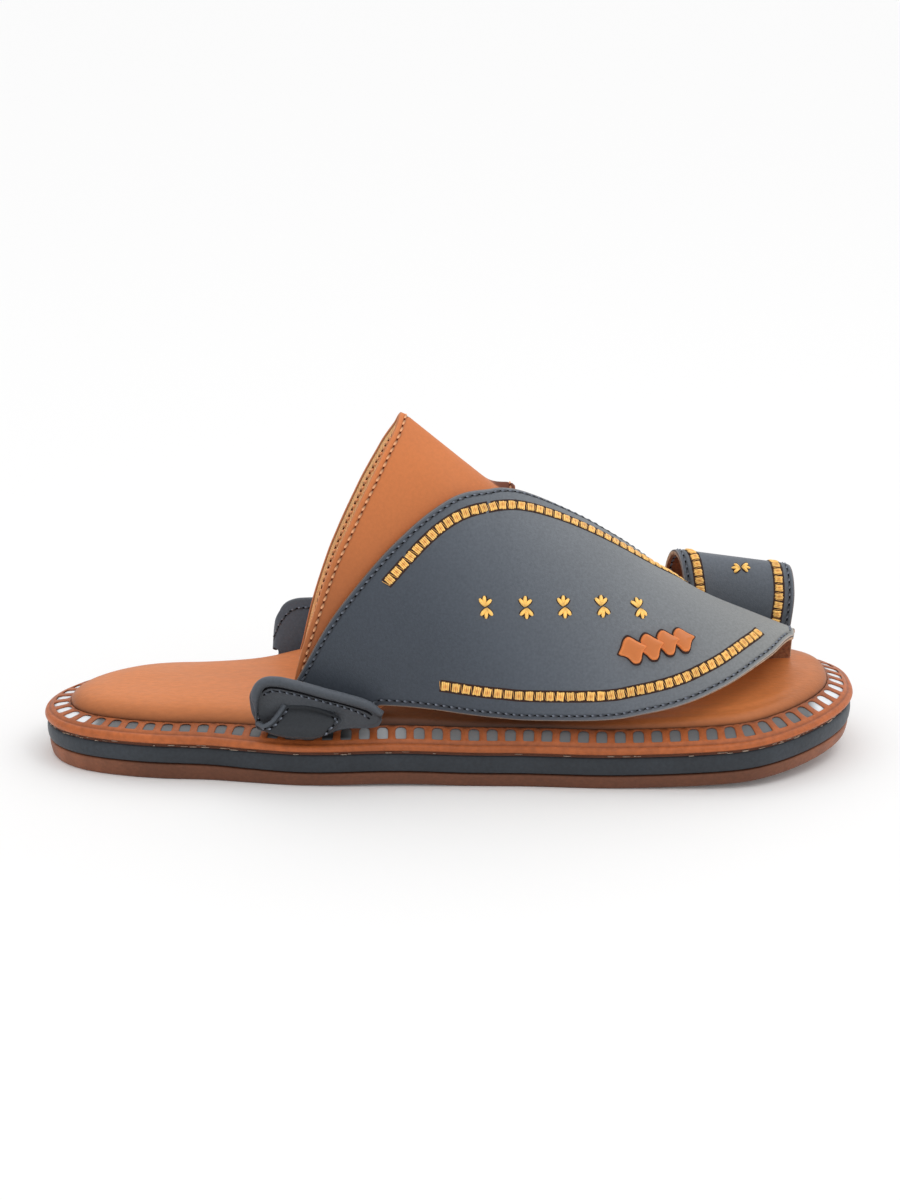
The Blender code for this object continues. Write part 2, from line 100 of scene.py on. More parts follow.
def rim(turn, inset):  # the sole's edge moved inwards
    turn = np.asarray(turn, float)
    way = outline(turn + 0.002) - outline(turn - 0.002)
    way /= np.linalg.norm(way, axis=-1, keepdims=True)
    return outline(turn) + np.stack([-way[..., 1], way[..., 0]], -1) * np.asarray(inset)[..., None]


def lift(x):  # the sole's line off the floor: a low arch and the toe spring
    share = ramp(x, sole["archBack"], sole["archFront"] - sole["archBack"])
    toe = np.maximum(0, (x - sole["springStart"]) / (sole["length"] / 2 - sole["springStart"]))
    return sole["archRise"] * np.sin(math.pi * share) ** 2 + sole["toeSpring"] * toe ** 2


def swell(x, y):  # the pad rises under the arch of the foot
    along = np.maximum(0, 1 - ((x - sole["swellMiddle"]) / sole["swellReach"]) ** 2)
    return sole["swellRise"] * along ** 2 * np.clip(y / sole["swellSide"], 0, 1) ** 2


def wedge(x):  # the outsole grows thicker towards the heel
    share = ramp(sole["wedgeFront"] - x, 0, sole["wedgeFront"] - sole["wedgeBack"])
    return sole["wedgeRise"] * share * share * (3 - 2 * share)


edgeOfSole = outline(np.arange(72) / 72)[:, 1]
middle = 0.5 * (edgeOfSole.min() + edgeOfSole.max())  # the frame stands over the middle of the width


# finishes
def linear(colour):  # a colour as seen on screen, 0 to 255, as light
    c = np.asarray(colour, float) / 255
    return (*np.where(c <= 0.04045, c / 12.92, ((c + 0.055) / 1.055) ** 2.4), 1.0)


def setInputs(node, values):
    for socket, value in values.items():
        node.inputs[socket].default_value = value
    return node


def addNode(tree, kind, values=None, sources=None, **settings):  # a node with its values and what feeds it
    made = tree.nodes.new("ShaderNode" + kind)
    for key, value in settings.items():
        setattr(made, key, value)
    for socket, source in (sources or {}).items():
        tree.links.new(source, made.inputs[socket])
    return setInputs(made, values or {})


lookSizes = {
    "sheenRough": 0.45, "coatRough": 0.30, "wear": 0.10, "speck": (0.3, 0.7), "grainDeep": 0.0004,
    "poreDeep": 0.0003,
}


def makeLook(name, colour, rough, clouds=(45, 0.10), grain=(2200, 0.10), pores=(0, 0.0), sheen=0.0,
             coat=0.0, shine=0.35, streak=(1, 1, 1), fleck=(900, 0.0)):
    look = bpy.data.materials.new(name)
    look.use_nodes = True
    tree = look.node_tree
    shader = setInputs(tree.nodes["Principled BSDF"], {
        "Specular IOR Level": shine, "Sheen Weight": sheen, "Sheen Roughness": lookSizes["sheenRough"],
        "Coat Weight": coat, "Coat Roughness": lookSizes["coatRough"]})
    place = addNode(tree, "TexCoord").outputs["Object"]
    place = addNode(tree, "Mapping", {"Scale": streak}, {"Vector": place}).outputs["Vector"]

    def noise(scale, detail):
        return addNode(tree, "TexNoise", {"Scale": scale, "Detail": detail},
                       {"Vector": place}).outputs["Fac"]

    base = np.asarray(linear(colour))[:3]
    shades = {f"Color{k}": (*(base * (1 + change)), 1) for k, change in ((1, -clouds[1]), (2, clouds[1]))}
    shades = addNode(tree, "MixRGB", shades, {"Fac": noise(clouds[0], 5)})  # two near shades in soft clouds
    painted = addNode(tree, "Attribute", attribute_name="tint")  # the tint painted on the mesh
    colours = {"Color1": shades.outputs["Color"], "Color2": painted.outputs["Color"]}
    dyed = addNode(tree, "MixRGB", {"Fac": 1}, colours, blend_type="MULTIPLY")
    low, high = lookSizes["speck"]
    speck = addNode(tree, "MapRange", {"From Min": low, "From Max": high, "To Min": 1 - fleck[1],
                                       "To Max": 1 + fleck[1]},
                    {"Value": noise(fleck[0], 3)})  # fine flecks of the grain
    strewn = addNode(tree, "VectorMath", None, {0: dyed.outputs["Color"], "Scale": speck.outputs["Result"]},
                     operation="SCALE")
    wear = lookSizes["wear"]
    worn = addNode(tree, "MapRange", {"To Min": max(0.05, rough - wear), "To Max": min(1.0, rough + wear)},
                   {"Value": noise(clouds[0] * 4, 3)})
    bump = addNode(tree, "Bump", {"Strength": grain[1], "Distance": lookSizes["grainDeep"]},
                   {"Height": noise(grain[0], 4)})
    if pores[1]:
        cells = addNode(tree, "TexVoronoi", {"Scale": pores[0]}, {"Vector": place})
        hide = addNode(tree, "Bump", {"Strength": pores[1], "Distance": lookSizes["poreDeep"]},
                       {"Height": cells.outputs["Distance"]})
        tree.links.new(hide.outputs["Normal"], bump.inputs["Normal"])
    tree.links.new(strewn.outputs["Vector"], shader.inputs["Base Color"])
    tree.links.new(worn.outputs["Result"], shader.inputs["Roughness"])
    tree.links.new(bump.outputs["Normal"], shader.inputs["Normal"])
    return look


slateLeather = makeLook("slateLeather", (73, 78, 85), 0.52, (26, 0.10), (2600, 0.30), (1300, 0.10),
                        sheen=0.10, fleck=(1100, 0.10))
tanLeather = makeLook("tanLeather", (206, 120, 66), 0.48, (22, 0.08), (2400, 0.18), (1200, 0.12),
                      fleck=(900, 0.04))
padLeather = makeLook("padLeather", (219, 132, 74), 0.46, (24, 0.12), (2200, 0.22), (1000, 0.16),
                      streak=(0.5, 1, 1), fleck=(700, 0.06))
borderLeather = makeLook("borderLeather", (187, 101, 52), 0.42, (60, 0.18), (1800, 0.30), (900, 0.15),
                         fleck=(500, 0.14))
tileLeather = makeLook("tileLeather", (214, 123, 62), 0.34, (60, 0.06), (2600, 0.10), coat=0.25)
suedeLining = makeLook("suedeLining", (140, 94, 66), 0.90, (160, 0.30), (1500, 0.55), sheen=0.35,
                       shine=0.15, fleck=(900, 0.35))
beigeLining = makeLook("beigeLining", (226, 194, 150), 0.85, (300, 0.15), (2200, 0.5), shine=0.2,
                       fleck=(1600, 0.18))
rawEdge = makeLook("rawEdge", (190, 160, 134), 0.85, (300, 0.25), (2600, 0.50), shine=0.2,
                   fleck=(1200, 0.35))
tanEdge = makeLook("tanEdge", (206, 128, 80), 0.60, (200, 0.15), (2600, 0.30))
# dark brown for the dyed cut edge of the tiles, and for painted shadow under the gold blocks, the stars and
# the tiles
dyedEdgeAndShadow = makeLook("dyedEdgeAndShadow", (52, 27, 18), 0.60, (200, 0.20), (2600, 0.30))
midsoleRubber = makeLook("midsoleRubber", (46, 51, 57), 0.46, (60, 0.16), (900, 0.25), fleck=(800, 0.14))
outsoleRubber = makeLook("outsoleRubber", (107, 65, 45), 0.52, (70, 0.16), (1100, 0.25), fleck=(800, 0.12))
treadRubber = makeLook("treadRubber", (92, 56, 40), 0.65, (70, 0.16), (700, 0.6), (260, 0.8))
seamGlue = makeLook("seamGlue", (98, 60, 45), 0.80, (200, 0.4), (1500, 0.5))
paleFray = makeLook("paleFray", (206, 186, 168), 0.80, (400, 0.2), (2500, 0.5))
silverStrip = makeLook("silverStrip", (106, 108, 110), 0.40, (50, 0.03), (1600, 0.05))
navyThread = makeLook("navyThread", (112, 118, 130), 0.45, (900, 0.35), (5200, 0.5))
tanThread = makeLook("tanThread", (244, 178, 130), 0.50, (900, 0.30), (5200, 0.5))
paleGold = makeLook("paleGold", (226, 170, 96), 0.40, (700, 0.2), (5200, 0.4), shine=0.5)
goldThread = makeLook("goldThread", (250, 198, 102), 0.34, (700, 0.25), (5200, 0.45), sheen=0.2, shine=0.6)
# near black for the needle holes, and for the painted shade strand in the ears' crease
holesAndCreaseShade = makeLook("holesAndCreaseShade", (16, 16, 20), 0.90, (500, 0.2), (2000, 0.2), shine=0.1)
needleBrown = makeLook("needleBrown", (92, 38, 18), 0.90, (500, 0.2), (2000, 0.2), shine=0.1)
paleRim = makeLook("paleRim", (112, 105, 103), 0.75, (300, 0.20), (2600, 0.40), shine=0.2)
print("finishes ready")


# making meshes
def quads(rows, columns, wrapRows=False, wrapColumns=False, first=0):
    i, j = np.meshgrid(np.arange(rows - (not wrapRows)), np.arange(columns - (not wrapColumns)),
                       indexing="ij")
    below = ((i + 1) % rows) * columns
    after = (j + 1) % columns
    here = i * columns
    return first + np.stack([here + j, below + j, below + after, here + after], -1).reshape(-1, 4)


def newPiece(name, verts, faces, looks, zones=None, tint=None, weld=0.0, sharp=48):
    mesh = bpy.data.meshes.new(name)
    verts = np.asarray(verts, float)
    mesh.from_pydata((verts - (0, middle, 0)).tolist(), [], [list(face) for face in faces])
    for look in looks:
        mesh.materials.append(look)
    if zones is not None:
        mesh.polygons.foreach_set("material_index", np.asarray(zones, np.int32))
    colour = np.ones((len(verts), 4), np.float32)
    if tint is not None:
        colour[:, :3] = np.reshape(tint, (len(verts), -1))
    mesh.color_attributes.new("tint", "FLOAT_COLOR", "POINT").data.foreach_set("color", colour.ravel())
    shape = bmesh.new()
    shape.from_mesh(mesh)
    if weld:
        bmesh.ops.remove_doubles(shape, verts=shape.verts, dist=weld)
    bmesh.ops.recalc_face_normals(shape, faces=shape.faces)
    shape.to_mesh(mesh)
    shape.free()
    mesh.shade_smooth()
    mesh.set_sharp_from_angle(angle=math.radians(sharp))
    piece = bpy.data.objects.new(name, mesh)
    bpy.context.scene.collection.objects.link(piece)
    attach(piece, "root")
    return piece


def rounded(profile, closed=False, times=2):  # corners cut off and cut again, as a knife and sandpaper would
    points = np.asarray(profile, float)
    for _ in range(times):
        before = points if closed else points[:-1]
        after = np.roll(points, -1, 0) if closed else points[1:]
        cut = np.stack([0.75 * before + 0.25 * after, 0.25 * before + 0.75 * after], 1)
        cut = cut.reshape(-1, points.shape[1])
        points = cut if closed else np.vstack([points[:1], cut[1:-1], points[-1:]])
    return points


def unit(v):
    return v / np.maximum(np.linalg.norm(v, axis=-1, keepdims=True), 1e-12)


# sole
soleTurns = np.arange(sole["stations"]) / sole["stations"]


def ring(inset, height, share=0.0, heel=0.0, at=soleTurns):
    flat = rim(at, np.broadcast_to(inset, np.shape(at)))
    x = flat[:, 0]
    return np.column_stack([flat, lift(x) + height + share * swell(x, flat[:, 1]) + heel * wedge(x)])


def cap(edge, first, columns, extra):  # a grid of points across a closed ring, heel to toe
    half = len(edge) // 2
    t = np.linspace(0, 1, columns + 1)[1:-1, None]
    inside = edge[1:half, None] * (1 - t) + edge[:half:-1, None] * t
    rows = np.arange(1, half)
    fresh = extra + np.arange(inside.shape[0] * inside.shape[1]).reshape(half - 1, -1)
    index = np.column_stack([first + rows, fresh, first + len(edge) - rows])
    corners = (index[:-1, :-1], index[1:, :-1], index[1:, 1:], index[:-1, 1:])
    faces = np.stack(corners, -1).reshape(-1, 4).tolist()
    for a, b in zip(index[0], index[0][1:]):
        faces.append([first, a, b])
    for a, b in zip(index[-1], index[-1][1:]):
        faces.append([first + half, b, a])
    return inside, faces


def soleLayer(name, profile, looks, tint, columns=(2, 2), crown=None, press=None):
    rows = rounded(profile)
    rings = np.array([ring(*row) for row in rows])
    verts = rings.reshape(-1, 3)
    faces = quads(len(rows), sole["stations"], wrapColumns=True).tolist()
    zones = [0] * len(faces)
    below, floorFaces = cap(rings[0], 0, columns[0], len(verts))
    verts = np.vstack([verts, below.reshape(-1, 3)])
    above, topFaces = cap(rings[-1], (len(rows) - 1) * sole["stations"], columns[1], len(verts))
    if crown is not None:
        above = crown(above)
    verts = np.vstack([verts, above.reshape(-1, 3)])
    if press is not None:
        verts = press(verts)
    zones = zones + [len(looks) - 1] * len(floorFaces) + [0] * len(topFaces)
    piece = newPiece(name + "Layer", verts, faces + floorFaces + topFaces, looks, zones, tint(verts))
    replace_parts(piece, name)
    return piece


outsoleSizes = {
    "profile": ((0.0030, 0.0000, 0, 0.0), (0.0024, 0.0005, 0, 0.0), (0.0020, 0.0014, 0, 0.2),
                (0.0016, 0.0030, 0, 0.6), (0.0014, 0.0042, 0, 1.0), (0.0017, 0.0048, 0, 1.0),
                (0.0026, 0.0050, 0, 1.0)),
    "paleEnds": (1.0, 0.106, 0.03),  # how much paler the ends are, from where, over what length
    "marks": (0.10, 900),
}


def outsoleTint(verts):
    pale, start, reach = outsoleSizes["paleEnds"]
    deep, close = outsoleSizes["marks"]
    ends = ramp(np.abs(verts[:, 0]), start, reach)
    return (1 + pale * ends) * (1 + deep * np.sin(verts[:, 0] * close) * ends)


soleLayer("outsole", outsoleSizes["profile"], (outsoleRubber, treadRubber), outsoleTint,
          (24, 2))

midsoleSizes = {
    "profile": ((0.0024, 0.0051, 0, 1.0), (0.0014, 0.0054, 0, 1.0), (0.0010, 0.0062, 0, 1.0),
                (0.0007, 0.0085, 0, 0.85), (0.0008, 0.0106, 0, 0.65), (0.0012, 0.0116, 0, 0.6),
                (0.0024, 0.0121, 0, 0.45), (0.0094, 0.0152, 0, -0.5)),
    "scuff": (0.10, 210, 90, 67), "paleEnds": (0.60, 0.095, 0.05), "darkFoot": (0.25, 0.0056),
}


def midsoleTint(verts):
    x, y = verts[:, 0], verts[:, 1]
    pale, start, reach = midsoleSizes["paleEnds"]
    dark, below = midsoleSizes["darkFoot"]
    deep, closeX, closeY, wideX = midsoleSizes["scuff"]
    scuff = deep * np.sin(x * closeX + y * closeY) * np.sin(x * wideX)
    return 1 + scuff + pale * ramp(np.abs(x), start, reach) - dark * (verts[:, 2] - lift(x) < below)


soleLayer("midsole", midsoleSizes["profile"], (midsoleRubber,), midsoleTint)

padSizes = {
    "profile": ((0.0096, 0.0156, 0.0, -0.5), (0.0095, 0.0186, 0.0, -0.7), (0.0094, 0.0200, 0.1, -0.7),
                (0.0103, 0.0214, 0.4, -0.5), (0.0125, 0.0227, 0.9, -0.2), (0.0160, 0.0236, 1.0, 0.0),
                (0.0215, 0.0242, 1.0, 0.0)),
    "crown": 0.0009, "columns": 44, "fill": 0.85, "creaseHeight": 0.0188, "creaseHeel": 0.7,
    "creaseTone": ((-0.01, 0.0003, 0.0010, 0.0018, 0.0030, 0.0050), (0.14, 0.18, 0.50, 0.76, 0.90, 1.0)),
    "edgeTone": ((0.0, 0.0096, 0.0115, 0.0150, 0.0200), (0.64, 0.66, 0.74, 0.90, 1.0)),
    "underWing": (-0.034, 0.072, 0.010, 0.040), "wingSide": (0.012, 0.008), "wingDark": 0.76,
    "paleToe": (0.098, 0.016, 0.16), "warm": (1.0, 0.90, 0.80),
    "folds": ((0.0138, 0.00026, 0.0013), (0.0196, 0.00019, 0.0019)),
    "foldRange": (0.050, 0.132, 0.02, 0.02), "foldDark": 300, "rise": (-0.050, 0.032, 0.0040),
    "riseReach": (0.013, 0.010), "riseAbove": 0.0205, "fullWidth": 0.040,
}
edgeTree = KDTree(1440)
for turnStep, spot in enumerate(outline(np.arange(1440) / 1440)):
    edgeTree.insert((*spot, 0), turnStep)
edgeTree.balance()


def insetOf(points):  # how far inside the sole's edge
    return np.array([edgeTree.find((x, y, 0))[2] for x, y, _ in points])


def padCrown(points):
    t = np.linspace(0, 1, points.shape[1] + 2)[1:-1]
    x, y = points[..., 0], points[..., 1]
    wide = np.linalg.norm(points[:, -1] - points[:, 0], axis=-1)[:, None]
    full = ramp(wide, 0, padSizes["fullWidth"]) ** 2
    z = lift(x) + padSizes["profile"][-1][1] + swell(x, y) + padSizes["crown"] * 4 * t * (1 - t) * full
    return np.stack([x, y, z], -1)


# the soft folds on the outer side of the toes: depth, and how far each point lies in one
def foldsAt(verts):
    inset = insetOf(verts)
    front = span(verts[:, 0], *padSizes["foldRange"]) * (verts[:, 1] < 0)
    return inset, [(deep, front * bell(inset, at, wide)) for at, deep, wide in padSizes["folds"]]


def padPress(verts):
    for deep, share in foldsAt(verts)[1]:
        verts[:, 2] -= deep * share
    (x, y, high), (reachX, reachY) = padSizes["rise"], padSizes["riseReach"]
    hill = high * bell(verts[:, 0], x, reachX) * bell(verts[:, 1], y, reachY)
    verts[:, 2] += hill * (verts[:, 2] > padSizes["riseAbove"])
    return verts


def padTint(verts):  # painted shade in the crease round its edge, in its folds and under the wing, warmer where shaded; paler at the toe
    x, y = verts[:, 0], verts[:, 1]
    inset, folds = foldsAt(verts)
    up = verts[:, 2] - lift(x) + padSizes["creaseHeel"] * wedge(x) - padSizes["creaseHeight"]
    tone = smooth(*padSizes["creaseTone"], up) * smooth(*padSizes["edgeTone"], inset)
    tone *= 1 - padSizes["wingDark"] * span(x, *padSizes["underWing"]) * ramp(-y, *padSizes["wingSide"])
    toe, wide, pale = padSizes["paleToe"]
    tone *= 1 + pale * bell(x, toe, wide)
    for deep, share in folds:
        tone *= 1 - padSizes["foldDark"] * deep * share
    warm = np.array(padSizes["warm"])
    return tone[:, None] * (warm + (1 - warm) * np.clip(tone[:, None], 0, 1))


pad = soleLayer("insole", padSizes["profile"], (padLeather,), padTint,
                (2, padSizes["columns"]), padCrown, padPress)
print("sole layers and pad made")

# border with its row of windows
borderSizes = {
    "windows": 101, "width": 0.0038, "outer": 0.0034, "inner": 0.0088, "roundIn": 0.0017,
    "roundOut": 0.0005, "zone": (0.0030, 0.0092), "thick": 0.0004, "lip": 0.00022, "perSide": 6,
    "slope": ((0.0022, 0.0162), (0.0093, 0.0194)), "heelSlope": (1.2, -0.7), "heelMost": 1.3,
    "roll": ((0.0023, 0.0159), (0.0018, 0.0155), (0.0014, 0.0154), (0.0009, 0.0153), (0.0003, 0.0148),
             (0.0000, 0.0140), (0.0003, 0.0132), (0.0012, 0.0127), (0.0025, 0.0129), (0.0030, 0.0142)),
    "rollHeel": (0.6, 0.0134, 0.0019), "innerRound": (0.0003, 0.0002), "lipDrop": 0.00014,
    "windowShade": (1.0, 0.96, 0.80, 0.60, 0.5), "rollDark": (0.0134, 0.45), "innerDark": 0.30,
    "groove": (0.0019, 0.0004, 0.35, 0.0150), "upper": (0.0165, 0.0030, 0.35),
    "underWing": (0.010, 0.075, 0.25), "byEar": (-0.036, 0.014, 0.40), "patina": (0.06, 130, 90),
    "weld": 2e-6,
}


def arcTurns(inset, count=2880):  # turn by length along the sole's edge
    turns = np.arange(count + 1) / count
    steps = np.linalg.norm(np.diff(rim(turns, inset), axis=0), axis=1)
    return turns, np.concatenate([[0], np.cumsum(steps)])


def borderHeight(inset):
    (a, low), (b, high) = borderSizes["slope"]
    return low + (high - low) * (inset - a) / (b - a)


def borderHeel(inset):  # how much of the heel's wedge the border takes
    a, b = borderSizes["slope"][0][0], borderSizes["slope"][1][0]
    outer, inner = borderSizes["heelSlope"]
    return np.minimum(borderSizes["heelMost"], outer + (inner - outer) * (np.asarray(inset) - a) / (b - a))


def borderPiece():
    size, n = borderSizes, borderSizes["perSide"]
    turns, lengths = arcTurns(0.5 * (size["outer"] + size["inner"]))
    pitch = lengths[-1] / size["windows"]
    side = np.linspace(-1, 1, n + 1)[:-1]
    square = np.vstack([np.column_stack([side, -np.ones(n)]), np.column_stack([np.ones(n), side]),
                        np.column_stack([-side, np.ones(n)]), np.column_stack([-np.ones(n), -side])])
    zoneIn, zoneOut = size["zone"]
    across = zoneIn + (zoneOut - zoneIn) * (square[:, 1] + 1) / 2
    frameOf = np.column_stack([square[:, 0] * pitch / 2, across])

    def hole(grow):
        half = np.array([size["width"] / 2 + grow, (size["inner"] - size["outer"]) / 2 + grow])
        corner = np.where(square[:, 1:] > 0, size["roundIn"], size["roundOut"]) + grow
        spot = square * half
        core = np.clip(spot, -(half - corner), half - corner)
        out = spot - core
        far = np.linalg.norm(out, axis=1, keepdims=True)
        spot = np.where(far > 1e-9, core + out / np.maximum(far, 1e-9) * corner, spot)
        return spot + (0, (size["inner"] + size["outer"]) / 2)

    flats = (frameOf, hole(size["lip"]), hole(0.0), hole(0.0), frameOf)
    drops = (0.0, 0.0, -size["lipDrop"], -size["thick"], -size["thick"])

    def lay(flat, drop):  # from length and inset to the border's slope
        s = (centres[:, None] + flat[None, :, 0]) % lengths[-1]
        inset = np.broadcast_to(flat[None, :, 1], s.shape)
        spot = rim(np.interp(s, lengths, turns), inset)
        z = lift(spot[..., 0]) + borderHeight(inset) + borderHeel(inset) * wedge(spot[..., 0]) + drop
        return np.concatenate([spot, z[..., None]], -1)

    centres = (np.arange(size["windows"]) + 0.5) * pitch
    rings = np.stack([lay(flat, drop) for flat, drop in zip(flats, drops)], 1)
    count = 4 * n
    faces = []
    for k in range(size["windows"]):
        faces.extend(quads(len(flats), count, wrapColumns=True, first=k * len(flats) * count).tolist())
    verts = rings.reshape(-1, 3)
    # painted shade, deeper down the walls of the windows
    shade = np.tile(np.repeat(size["windowShade"], count), size["windows"])

    steps = (np.arange(size["windows"] * n) / n) * pitch  # the same stations as the windows' frames
    at = np.interp(steps % lengths[-1], lengths, turns)

    def slopeAt(inset, drop=0.0):
        return inset, borderHeight(inset) - drop

    out, drop = size["innerRound"]
    outer = [slopeAt(zoneIn), *rounded(size["roll"]), slopeAt(zoneIn, size["thick"])]
    inner = [slopeAt(zoneOut), (zoneOut + out, borderHeight(zoneOut) - drop),
             slopeAt(zoneOut, size["thick"])]
    for strip in (outer, inner):
        first = len(verts)
        insets, heights = np.array(strip).T
        heels = borderHeel(insets)
        # painted shade on the inner strip beside the pad
        dark = np.full(len(strip), size["innerDark"])
        if strip is outer:  # the roll hangs lower at the heel, and a groove runs along it; painted shade darkens the groove and the roll's underside
            least, low, reach = size["rollHeel"]
            heels = np.minimum(heels, least + least * ramp(heights, low, reach))
            grooveAt, wide, deep, above = size["groove"]
            groove = 1 - deep * bell(insets, grooveAt, wide) * (heights > above)
            dark = np.where(heights < size["rollDark"][0], size["rollDark"][1], groove)
        loops = np.array([ring(*row, at) for row in zip(insets, heights, np.zeros(len(strip)), heels)])
        verts = np.vstack([verts, loops.reshape(-1, 3)])
        faces.extend(quads(len(strip), len(at), wrapColumns=True, first=first).tolist())
        shade = np.concatenate([shade, np.repeat(dark, len(at))])
    x, y = verts[:, 0], verts[:, 1]
    # painted shade on the upper, inner part of the slope; the patina varies the tone in soft waves
    low, reach, upperDark = size["upper"]
    inwards = ramp(verts[:, 2] - lift(x), low, reach)
    cloud, closeX, closeY = size["patina"]
    shade *= (1 + cloud * np.sin(x * closeX) * np.cos(y * closeY)) * (1 - upperDark * inwards)
    for key, where in (("underWing", 1), ("byEar", (y < 0) * inwards)):  # in the shade of wing and ear
        spot, wide, deep = size[key]
        shade *= 1 - deep * bell(x, spot, wide) * where
    piece = newPiece("borderRand", verts, faces, (borderLeather,), None, shade, size["weld"])
    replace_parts(piece, "border")


borderPiece()

underlaySizes = {
    "profile": ((0.0032, 0.0130, 0, 0.4), (0.0032, 0.0155, 0, 0.95), (0.0036, 0.0164, 0, 0.83),
                (0.0088, 0.0187, 0, -0.57), (0.0093, 0.0184, 0, -0.7), (0.0093, 0.0156, 0, -0.5)),
    "toeReflection": (0.1255, 0.004), "heelReflection": (0.1235, 0.004), "reflection": 5.0, "silverEar": (-0.0235, 0.009),
    "silver": 1.5, "earShadow": (-0.0665, -0.0325, 0.003, 0.004), "litLowEdge": (0.0172, 0.0008),
    "earShadowTone": (0.2, 1.6),
}


def soleBand(name, profile, look, tint):
    rows = rounded(profile, True, 1)
    rings = np.array([ring(*row) for row in rows])
    verts = rings.reshape(-1, 3)
    faces = quads(len(rows), sole["stations"], True, True)
    return newPiece(name, verts, faces, (look,), None, tint(verts))


def underlayTint(verts):  # painted reflection, bright at toe and heel; a painted silver highlight by the outer ear, and painted shadow under the ear with a lit lower edge
    x, y, z = verts.T
    ends = np.maximum(ramp(x, *underlaySizes["toeReflection"]), ramp(-x, *underlaySizes["heelReflection"]))
    gleam = bell(x, *underlaySizes["silverEar"]) * (y < 0)
    shaded = span(x, *underlaySizes["earShadow"]) * (y < 0)
    edge, fade = underlaySizes["litLowEdge"]
    dark, pale = underlaySizes["earShadowTone"]
    bright = 1 + underlaySizes["reflection"] * ends + underlaySizes["silver"] * gleam
    return bright * (1 - shaded) + shaded * (dark + pale * ramp(edge - z, 0, fade))


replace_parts(soleBand("underlayStrip", underlaySizes["profile"], silverStrip, underlayTint),
            "underlay")

seamSizes = {
    "profile": ((0.0017, 0.0112, 0, 0.6), (0.0015, 0.0131, 0, 0.6), (0.0034, 0.0133, 0, 0.4),
                (0.0034, 0.0112, 0, 0.4)),
    "flakes": 180, "long": (0.0006, 0.0030), "high": (0.00003, 0.00010), "inset": 0.0011, "at": 0.0123,
    "ends": 0.42, "endSpread": 0.09, "around": 0.68, "drift": (-0.0004, 0.0005), "shift": (-0.0002, 0.0003),
    "heel": 0.6, "shape": (0.15, 1, 0.8), "uneven": (0.5, 1), "deep": 0.0009,
}
soleBand("seamGlue", seamSizes["profile"], seamGlue, lambda verts: np.ones(len(verts)))


def flakes():  # pale frayed bits of lining along the seam
    verts, faces = [], []
    for _ in range(seamSizes["flakes"]):
        at = chance.random()
        if chance.random() < seamSizes["ends"]:  # more of them at heel and toe
            at = chance.choice((0.0, 0.5)) + chance.normal(0, seamSizes["endSpread"])
        long = chance.uniform(*seamSizes["long"])
        high = chance.uniform(*seamSizes["high"])
        z = seamSizes["at"] + chance.uniform(*seamSizes["drift"])
        turn = np.linspace(at, at + long / seamSizes["around"], 5)
        tip, full, slack = seamSizes["shape"]
        wide = high * np.array((tip, full, chance.uniform(*seamSizes["uneven"]), slack, tip))
        shifted = seamSizes["inset"] + chance.uniform(*seamSizes["shift"])
        middleLine = ring(shifted, z, 0.0, seamSizes["heel"], turn)
        inwards = ring(seamSizes["inset"] + seamSizes["deep"], z, 0.0, seamSizes["heel"], turn)
        first = len(verts)
        for p, q, w in zip(middleLine, inwards, wide):
            verts.extend([p + (0, 0, w), p - (0, 0, w), q - (0, 0, w), q + (0, 0, w)])
        faces.extend(quads(5, 4, wrapColumns=True, first=first).tolist())
        faces.append([first, first + 1, first + 2, first + 3])
        faces.append([first + 19, first + 18, first + 17, first + 16])
    newPiece("seamFray", verts, faces, (paleFray,))


flakes()
print("border, strip and seam made")

# the last that the straps are shaped on
last = {
    "x": (-0.060, -0.016, -0.002, 0.006, 0.013, 0.018, 0.024, 0.044, 0.057, 0.074, 0.089, 0.107, 0.122),
    "side": (0, 0, 0, 0, 0, -0.0001, -0.0003, -0.0015, -0.0025, -0.0035, -0.0035, -0.0025, -0.0010),
    "crown": (0.1604, 0.1235, 0.1120, 0.1053, 0.1000, 0.0980, 0.0953, 0.0852, 0.0774, 0.0652, 0.0560,
              0.0479, 0.0412),
    "lateral": (-0.0298, -0.0302, -0.0313, -0.0322, -0.0330, -0.0336, -0.0343, -0.0362, -0.0370, -0.0370,
                -0.0352, -0.0295, -0.0215),
    "medial": (0.0298, 0.0300, 0.0310, 0.0318, 0.0325, 0.0332, 0.0340, 0.0375, 0.0395, 0.0405, 0.0405,
               0.0400, 0.0390),
    "post": (0.0298, 0.0300, 0.0310, 0.0316, 0.0320, 0.0316, 0.0310, 0.0260, 0.0210, 0.0145, 0.0135, 0.0135,
             0.0135),
    "round": (1.50, 1.50, 1.58, 1.65, 1.70, 1.76, 1.82, 1.95, 2.00, 2.05, 2.10, 2.10, 2.10), "foot": 0.0235,
    "postFoot": 0.0248,
}


def lastPoint(x, turn, inner="medial"):  # turn -1 at the outer foot, 0 on the ridge, 1 at the inner foot
    x, turn = np.broadcast_arrays(np.asarray(x, float), np.asarray(turn, float))
    side = smooth(last["x"], last["side"], x)
    crown = smooth(last["x"], last["crown"], x)
    power = 2 / smooth(last["x"], last["round"], x)
    near = smooth(last["x"], last[inner], x)
    reach = np.where(turn < 0, smooth(last["x"], last["lateral"], x), near)
    innerFoot = last["postFoot"] if inner == "post" else last["foot"] + swell(x, near)
    foot = lift(x) + np.where(turn > 0, innerFoot, last["foot"])
    angle = np.minimum(np.abs(turn), 1) * math.pi / 2
    across = np.sin(angle) ** power
    up = np.maximum(np.cos(angle), 0) ** power
    return np.stack([x, side + (reach - side) * across, foot + (crown - foot) * up], -1)


